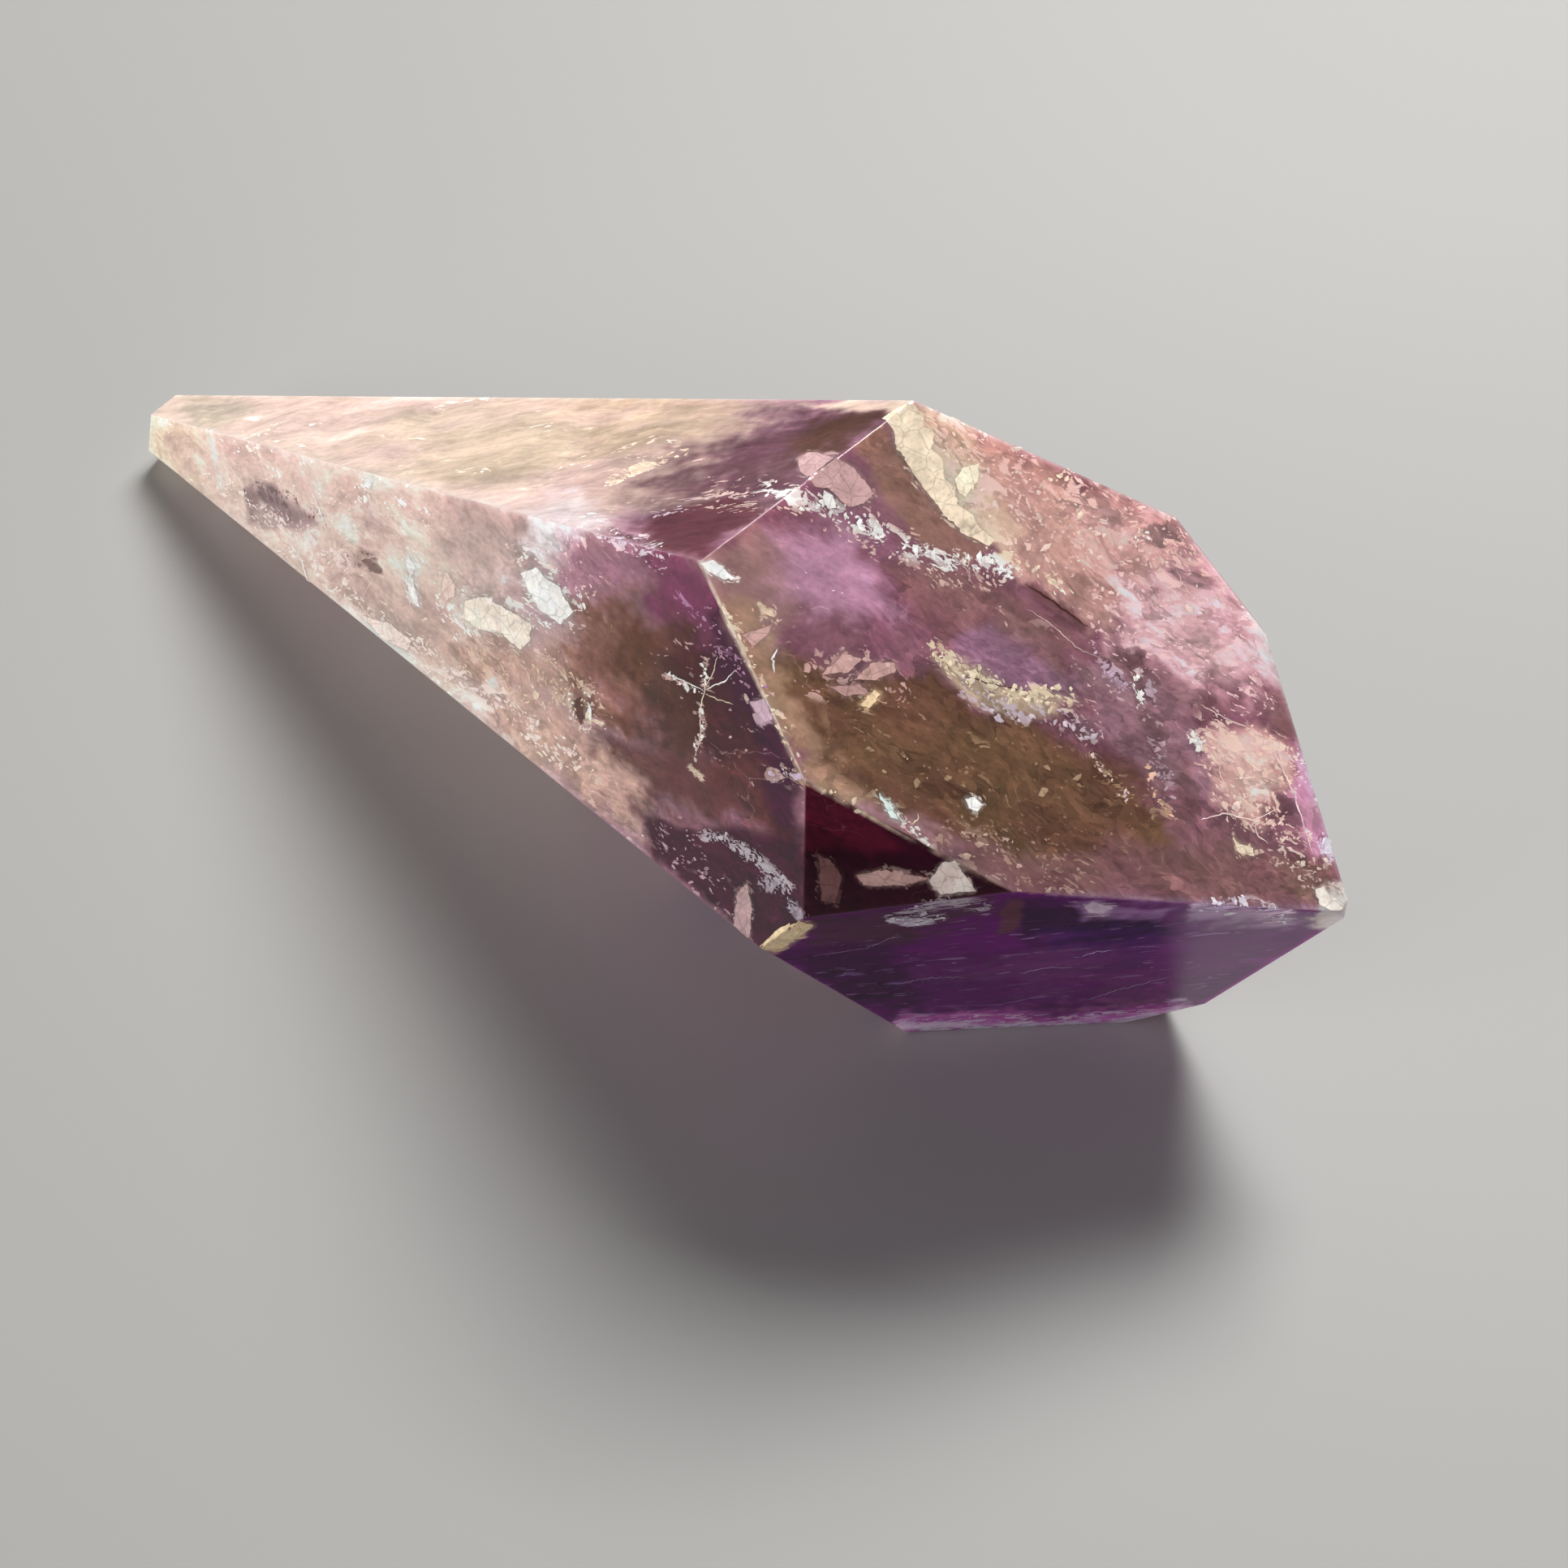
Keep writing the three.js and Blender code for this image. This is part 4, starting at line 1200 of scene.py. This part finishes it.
def hidden_strings(flow):
    """Where small bright cracks string together on the sides that the photograph doesn't show."""
    winding = np.abs(cloud(flow * MM, "winding strings"))
    return fade(winding, 0.07, 0.01) * fade(cloud(flow * MM, "gaps in strings"), -0.1, 0.3)


def cracks_glints_and_shade(pixels, facet, flow, near, colour):
    """Where small bright cracks lie close together, and their colour there; it holds painted glints and
    shade.
    """
    pale = fade(colour.mean(1), 0.05, 0.4)
    breaks = np.clip(0.6 + 1.1 * cloud(flow * MM, "gaps in cracks"), 0, 1)
    snow = 0.16 * (0.08 + 0.92 * pale) * breaks * fade(cloud(flow * MM, "strewn cracks"), -0.1, 0.6)
    fleck = np.outer(0.15 + 0.85 * pale, MILK_ROSE) + 0.8 * colour
    strings = hidden_strings(flow) * ~near
    snow = np.maximum(snow, 0.9 * strings * breaks)
    fleck += (np.array(WHITE) - fleck) * 0.6 * strings[:, None]
    for vein in VEINS.values():
        away = from_path(pixels, vein.path) / vein.width
        share = fade(away, 1.4, 0.6) * near
        snow = np.maximum(snow, share * vein.density * breaks)
        fleck += (np.array(vein.colour) - fleck) * share[:, None]
    for plate in PLATES.values():
        share = shares_in(plate.outline, pixels, facet, -9, 0)
        snow = np.maximum(snow, PLATE_GLOW * share * breaks)
        fleck += (np.array(plate.colour) - fleck) * share[:, None]
    return snow, fleck


TIP_FROST_REACH = 2.7  # millimetres from the point
TIP_FROST_CORE = 1.6  # where it is full


def paint_tip(places, colour, clear):
    """The white of the worn point, and how much of it there is."""
    away = np.linalg.norm(places - places[places[:, 0].argmax()], axis=1) / MM
    frost = fade(away + 0.6 * cloud(places, "edge of the frost"), TIP_FROST_REACH, TIP_FROST_CORE)
    lay(colour, clear, frost * 0.9, TIP_WHITE, 0.2)
    return frost


BRIGHTNESS = 0.98
CLEAR_DARKENING = 0.7  # of clear crystal, which lighter colours make up for


def store_colours(mesh, name, colours):
    """Keeps a colour at each corner of a mesh."""
    attribute = mesh.color_attributes.new(name, "FLOAT_COLOR", "POINT")
    attribute.data.foreach_set("color", np.column_stack([colours, np.ones(len(colours))]).ravel())


def paint(mesh, facet):
    """Keeps in the mesh all that the amethyst material reads."""
    places = positions(mesh)
    pixels = to_photo(places)
    flow, shatter = flow_of(places, facet)
    near = ((np.array(EYE) @ FACET_NORMALS.T - FACET_REACHES) > 0)[facet]
    colour, clear = along_colour(places, near)
    broad = np.stack([cloud(flow * MM, "wander of borders", shift) for shift in (0, 1)], -1)
    fine = np.stack([cloud(places, "fine wander of borders", shift) for shift in (0, 1)], -1)
    wander = broad + 0.5 * fine
    paint_zones(pixels, facet, wander, colour, clear)
    paint_wisps(flow, colour, clear)
    paint_round_plates(pixels, facet, wander, colour, clear)
    paint_lines(places, pixels, near, colour, clear)
    snow, fleck = cracks_glints_and_shade(pixels, facet, flow, near, colour)
    frost = paint_tip(places, colour, clear)
    clear = np.clip(clear, 0.05, 1)
    colour = np.clip(colour * BRIGHTNESS / (1 - CLEAR_DARKENING * clear)[:, None], 0.002, 0.95)
    towards_point = fade(places[:, 0] / MM, -30, 0)
    shatter = shatter * fade(cloud(places, "shattered places"), -0.8, 0.4) * (0.35 + 0.65 * towards_point)
    crackle = fade(cloud(places, "crackled places"), 0.0, 0.6)
    store_colours(mesh, "tint", colour)
    store_colours(mesh, "fleck", fleck)
    numbers = {"clearness": clear, "frost": frost, "snow": snow, "shatter": shatter, "crackle": crackle}
    for name, values in numbers.items():
        attribute = mesh.attributes.new(name, "FLOAT", "POINT")
        attribute.data.foreach_set("value", values.astype(np.float32))
    attribute = mesh.attributes.new("flow", "FLOAT_VECTOR", "POINT")
    attribute.data.foreach_set("vector", flow.astype(np.float32).ravel())


# Materials


class Shading:
    """One new material, and short ways to add nodes to it."""

    def __init__(self, name):
        self.material = bpy.data.materials.new(name)
        self.material.use_nodes = True
        self.tree = self.material.node_tree
        self.shader = self.tree.nodes["Principled BSDF"]

    def feed(self, socket, value):
        """Links a socket to another, or sets it to a value."""
        if isinstance(value, bpy.types.NodeSocket):
            self.tree.links.new(value, socket)
        else:
            socket.default_value = value

    def node(self, kind, inputs=None, **settings):
        """Adds a node of one kind with its inputs and settings."""
        node = self.tree.nodes.new("ShaderNode" + kind)
        for name, value in settings.items():
            setattr(node, name, value)
        for name, value in (inputs or {}).items():
            self.feed(node.inputs[name], value)
        return node

    def finish(self, inputs):
        """Feeds the main shader and gives back the material."""
        for name, value in inputs.items():
            self.feed(self.shader.inputs[name], value)
        return self.material

    def place(self):
        """The place on the object, in metres."""
        return self.node("TexCoord").outputs["Object"]

    def painted(self, name, output="Fac"):
        """What the mesh keeps under a name."""
        return self.node("Attribute", attribute_name=name).outputs[output]

    def noise(self, place, scale, detail):
        return self.node("TexNoise", {"Vector": place, "Scale": scale, "Detail": detail})

    def cells(self, place, scale, feature="F1"):
        """Random cells, or the distance to their edges."""
        return self.node("TexVoronoi", {"Vector": place, "Scale": scale}, feature=feature)

    def number(self, operation, first, second):
        return self.node("Math", {0: first, 1: second}, operation=operation).outputs["Value"]

    def vector(self, operation, first, second):
        return self.node("VectorMath", {0: first, 1: second}, operation=operation).outputs["Vector"]

    def scaled(self, colour, factor):
        inputs = {0: colour, "Scale": factor}
        return self.node("VectorMath", inputs, operation="SCALE").outputs["Vector"]

    def mixed(self, factor, first, second):
        inputs = {"Factor": factor, "A": first, "B": second}
        return self.node("Mix", inputs, data_type="RGBA").outputs["Result"]

    def channels(self, colour):
        """The red, green and blue of a colour."""
        node = self.node("SeparateColor", {"Color": colour})
        return [node.outputs[name] for name in ("Red", "Green", "Blue")]

    def between(self, source, low, high, source_low=0.3, source_high=0.7):
        """Maps source_low to low and source_high to high. Their defaults are the usual range of noise."""
        inputs = {"Value": source, "From Min": source_low, "From Max": source_high}
        return self.node("MapRange", {**inputs, "To Min": low, "To Max": high}).outputs["Result"]

    def varied(self, source, strength):
        """A factor about 1, from a random value between 0 and 1."""
        swing = self.number("MULTIPLY", self.number("SUBTRACT", source, 0.5), strength)
        return self.number("ADD", swing, 1)


LAMP_TINT = (0.16, 0.12, 0.16, 1)  # of lamp light that passes through the surface
ABSORPTION_TINT = (0.50, 0.28, 0.55, 1)
ABSORPTION_DENSITY = 85  # per metre
SCATTER_REACH = 3  # millimetres that light wanders in the milky part
SCATTER_BY_COLOUR = (1.0, 0.75, 0.8)
FROST_ROUGHNESS = 0.4
BUMP_STRENGTH = 0.12
BUMP_HEIGHT = 0.05
STRAY = (1.6, 1.6, 1.6)  # how far the outlines of small cracks are pulled about

# Noise in the materials: cells to a millimetre of flow, or to a metre of place, and detail
MOTTLE = (0.9, 5)
FIBRES = (3.5, 4)
FINE_GRAIN = (2600, 2)
RELIEF = (420, 3)
CRACK_GRAIN = (1400, 5)
CRACK_PITS = (4200, 3)
CRACKLE_CELLS = 0.22
CRACK_SHARDS = 900
CRACK_RIMS = 800

# Small bright cracks of three sizes: cells to a millimetre, and the share of them that is bright where
# cracks lie closest
CHIP_SIZES = [(0.9, 0.14), (2.4, 0.36), (6.0, 0.65)]


def chips_on(made, place, snow):
    """How bright the small cracks are, and the random values of their cells."""
    bright, cells = None, []
    for scale, share in CHIP_SIZES:
        red, green, blue = made.channels(made.cells(place, scale).outputs["Color"])
        reach = made.number("ADD", red, made.number("MULTIPLY", snow, share))
        lit = made.between(reach, 0, 1, 1, 1.02)
        chip = made.number("MULTIPLY", lit, made.between(blue, 0.55, 1, 0, 0.8))
        bright = made.number("MAXIMUM", bright, chip) if bright else chip
        cells.append(green)
    return bright, cells


def crackle_on(made, place, fibres):
    """Thin bright lines between large cells, broken by the fibres."""
    rim = made.cells(place, CRACKLE_CELLS, "DISTANCE_TO_EDGE").outputs["Distance"]
    line = made.number("MULTIPLY", made.between(rim, 0.5, 0, 0, 0.014), made.painted("crackle"))
    return made.number("MULTIPLY", line, made.between(fibres, 0, 1, 0.4, 0.6))


def pass_lamp_light(made):
    """Lets lamp light through the surface, and absorbs what light crosses the crystal."""
    passing = made.node("BsdfTransparent", {"Color": LAMP_TINT}).outputs["BSDF"]
    shadow = made.node("LightPath").outputs["Is Shadow Ray"]
    surface = made.node("MixShader", {0: shadow, 1: made.shader.outputs["BSDF"], 2: passing})
    absorption = made.node("VolumeAbsorption", {"Color": ABSORPTION_TINT, "Density": ABSORPTION_DENSITY})
    output = made.tree.nodes["Material Output"]
    made.feed(output.inputs["Surface"], surface.outputs["Shader"])
    made.feed(output.inputs["Volume"], absorption.outputs["Volume"])


def amethyst_material():
    """Milky to clear crystal with painted zones and small bright cracks."""
    made = Shading("amethyst")
    place = made.place()
    flow = made.painted("flow", "Vector")
    shatter = made.painted("shatter")
    mottle = made.noise(flow, *MOTTLE)
    fibres = made.noise(flow, *FIBRES).outputs["Fac"]
    grain = made.noise(place, *FINE_GRAIN).outputs["Fac"]
    stray = made.vector("SUBTRACT", mottle.outputs["Color"], (0.5, 0.5, 0.5))
    ragged_flow = made.vector("ADD", flow, made.vector("MULTIPLY", stray, STRAY))
    bright, (broad, middle, _) = chips_on(made, ragged_flow, made.painted("snow"))
    bright = made.number("MAXIMUM", bright, crackle_on(made, ragged_flow, fibres))
    tint = made.painted("tint", "Color")
    for factor in (
        made.between(mottle.outputs["Fac"], 0.84, 1.16),
        made.between(fibres, 0.88, 1.12),
        made.between(grain, 0.96, 1.04),
        made.varied(broad, made.number("MULTIPLY", shatter, 0.38)),
        made.varied(middle, made.number("MULTIPLY", shatter, 0.30)),
    ):
        tint = made.scaled(tint, factor)
    haze = made.between(mottle.outputs["Fac"], 0.85, 1.1)
    clearness = made.number("MULTIPLY", made.painted("clearness"), haze)
    dull = made.number("SUBTRACT", 1, made.number("MULTIPLY", bright, 0.8))
    frost = made.number("MULTIPLY", made.painted("frost"), FROST_ROUGHNESS)
    relief = {
        "Height": made.noise(place, *RELIEF).outputs["Fac"],
        "Strength": BUMP_STRENGTH,
        "Distance": BUMP_HEIGHT * MM,
    }
    pass_lamp_light(made)
    return made.finish({
        "Base Color": made.mixed(bright, tint, made.painted("fleck", "Color")),
        "Transmission Weight": made.number("MULTIPLY", clearness, dull),
        "Roughness": made.number("ADD", frost, made.between(grain, 0.03, 0.07)),
        "Normal": made.node("Bump", relief).outputs["Normal"],
        "IOR": REFRACTIVE_INDEX,
        "Specular IOR Level": MIRROR_LEVEL,
        "Subsurface Weight": 1,
        "Subsurface Radius": SCATTER_BY_COLOUR,
        "Subsurface Scale": SCATTER_REACH * MM,
    })


def crack_glint_and_shade_material():
    """The pale sheen of a crack inside the crystal, also worn by painted glints and painted shade."""
    made = Shading("crack")
    place = made.place()
    grain = made.noise(place, *CRACK_GRAIN).outputs["Fac"]
    pits = made.noise(place, *CRACK_PITS).outputs["Fac"]
    shards = made.channels(made.cells(place, CRACK_SHARDS).outputs["Color"])[0]
    rims = made.cells(place, CRACK_RIMS, "DISTANCE_TO_EDGE").outputs["Distance"]
    tint = made.painted("tint", "Color")
    for factor in (
        made.between(grain, 0.90, 1.08),
        made.between(pits, 0.86, 1.02, 0.33, 0.47),
        made.between(shards, 0.90, 1.06, 0, 1),
        made.between(rims, 0.72, 1, 0, 0.05),
    ):
        tint = made.scaled(tint, factor)
    roughness = made.between(grain, 0.06, 0.22)
    return made.finish({"Base Color": tint, "Roughness": roughness, "IOR": REFRACTIVE_INDEX})


# Pieces


def add_piece(name, mesh, material):
    """A piece of the crystal that rides on its one body."""
    piece = bpy.data.objects.new(name, mesh)
    bpy.context.scene.collection.objects.link(piece)
    mesh.materials.append(material)
    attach(piece, "root")
    return piece


def make_crystal():
    """The polished crystal in place of the plain solid."""
    mesh, facet = polished_mesh()
    paint(mesh, facet)
    piece = add_piece("polished_crystal", mesh, amethyst_material())
    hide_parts("amethyst_crystal")


def make_inclusions():
    """The cracks that shine in the crystal, with painted glints and the painted shade of the small hole."""
    material = crack_glint_and_shade_material()
    rng = np.random.default_rng(8)
    # The plates, veins and lines hold painted glints as well as cracks, and the plates the painted shade of
    # the small hole.
    groups = {
        "crack_glint_and_shade_plates": [plate_parts(*plate, rng) for plate in PLATES.values()],
        "crack_and_glint_veins": [vein_parts(vein, rng) for vein in VEINS.values()],
        "crack_veils": [veil_parts(veil, rng) for veil in VEILS.values()],
        "crack_and_glint_lines": [thread_parts(thread, rng) for thread in THREADS.values()],
    }
    for name, parts in groups.items():
        corners, faces, tints = joined(parts)
        mesh = bpy.data.meshes.new(name)
        mesh.from_pydata(corners.tolist(), [], faces.tolist())
        store_colours(mesh, "tint", np.clip(tints, 0, 0.97))
        add_piece(name, mesh, material)


# Stage

FLOOR_SIDE = 3.0  # metres
FLOOR_COLOUR = (0.33, 0.325, 0.312, 1)
FLOOR_ROUGHNESS = 0.6
KEY_PLACE = (-0.12, 0.62, 0.78)  # metres
KEY_SIZE = 0.4
KEY_POWER = 15
FILL_PLACE = (-0.55, -0.85, 0.13)
FILL_SIZE = 0.7
FILL_POWER = 12.5
WORLD_COLOUR = (0.95, 0.96, 1, 1)
WORLD_STRENGTH = 0.11


def make_floor():
    """A plain pale floor."""
    half = FLOOR_SIDE / 2
    mesh = bpy.data.meshes.new("floor")
    corners = [(-half, -half, 0), (half, -half, 0), (half, half, 0), (-half, half, 0)]
    mesh.from_pydata(corners, [], [(0, 1, 2, 3)])
    look = {"Base Color": FLOOR_COLOUR, "Roughness": FLOOR_ROUGHNESS}
    mesh.materials.append(Shading("floor").finish(look))
    floor = bpy.data.objects.new("floor", mesh)
    bpy.context.scene.collection.objects.link(floor)


def make_light(name, place, size, power):
    """A square soft light that looks at the crystal."""
    data = bpy.data.lights.new(name, "AREA")
    data.size = size
    data.energy = power
    light = bpy.data.objects.new(name, data)
    light.location = place
    light.rotation_mode = "QUATERNION"
    light.rotation_quaternion = (-Vector(place)).to_track_quat("-Z", "Y")
    bpy.context.scene.collection.objects.link(light)


def make_world():
    """Faint light from all round."""
    world = bpy.data.worlds.new("studio")
    world.use_nodes = True
    background = world.node_tree.nodes["Background"]
    background.inputs["Color"].default_value = WORLD_COLOUR
    background.inputs["Strength"].default_value = WORLD_STRENGTH
    bpy.context.scene.world = world


make_camera()
make_crystal()
make_inclusions()
make_floor()
make_light("key_light", KEY_PLACE, KEY_SIZE, KEY_POWER)
make_light("fill_light", FILL_PLACE, FILL_SIZE, FILL_POWER)
make_world()
bpy.context.scene.view_settings.view_transform = "Standard"
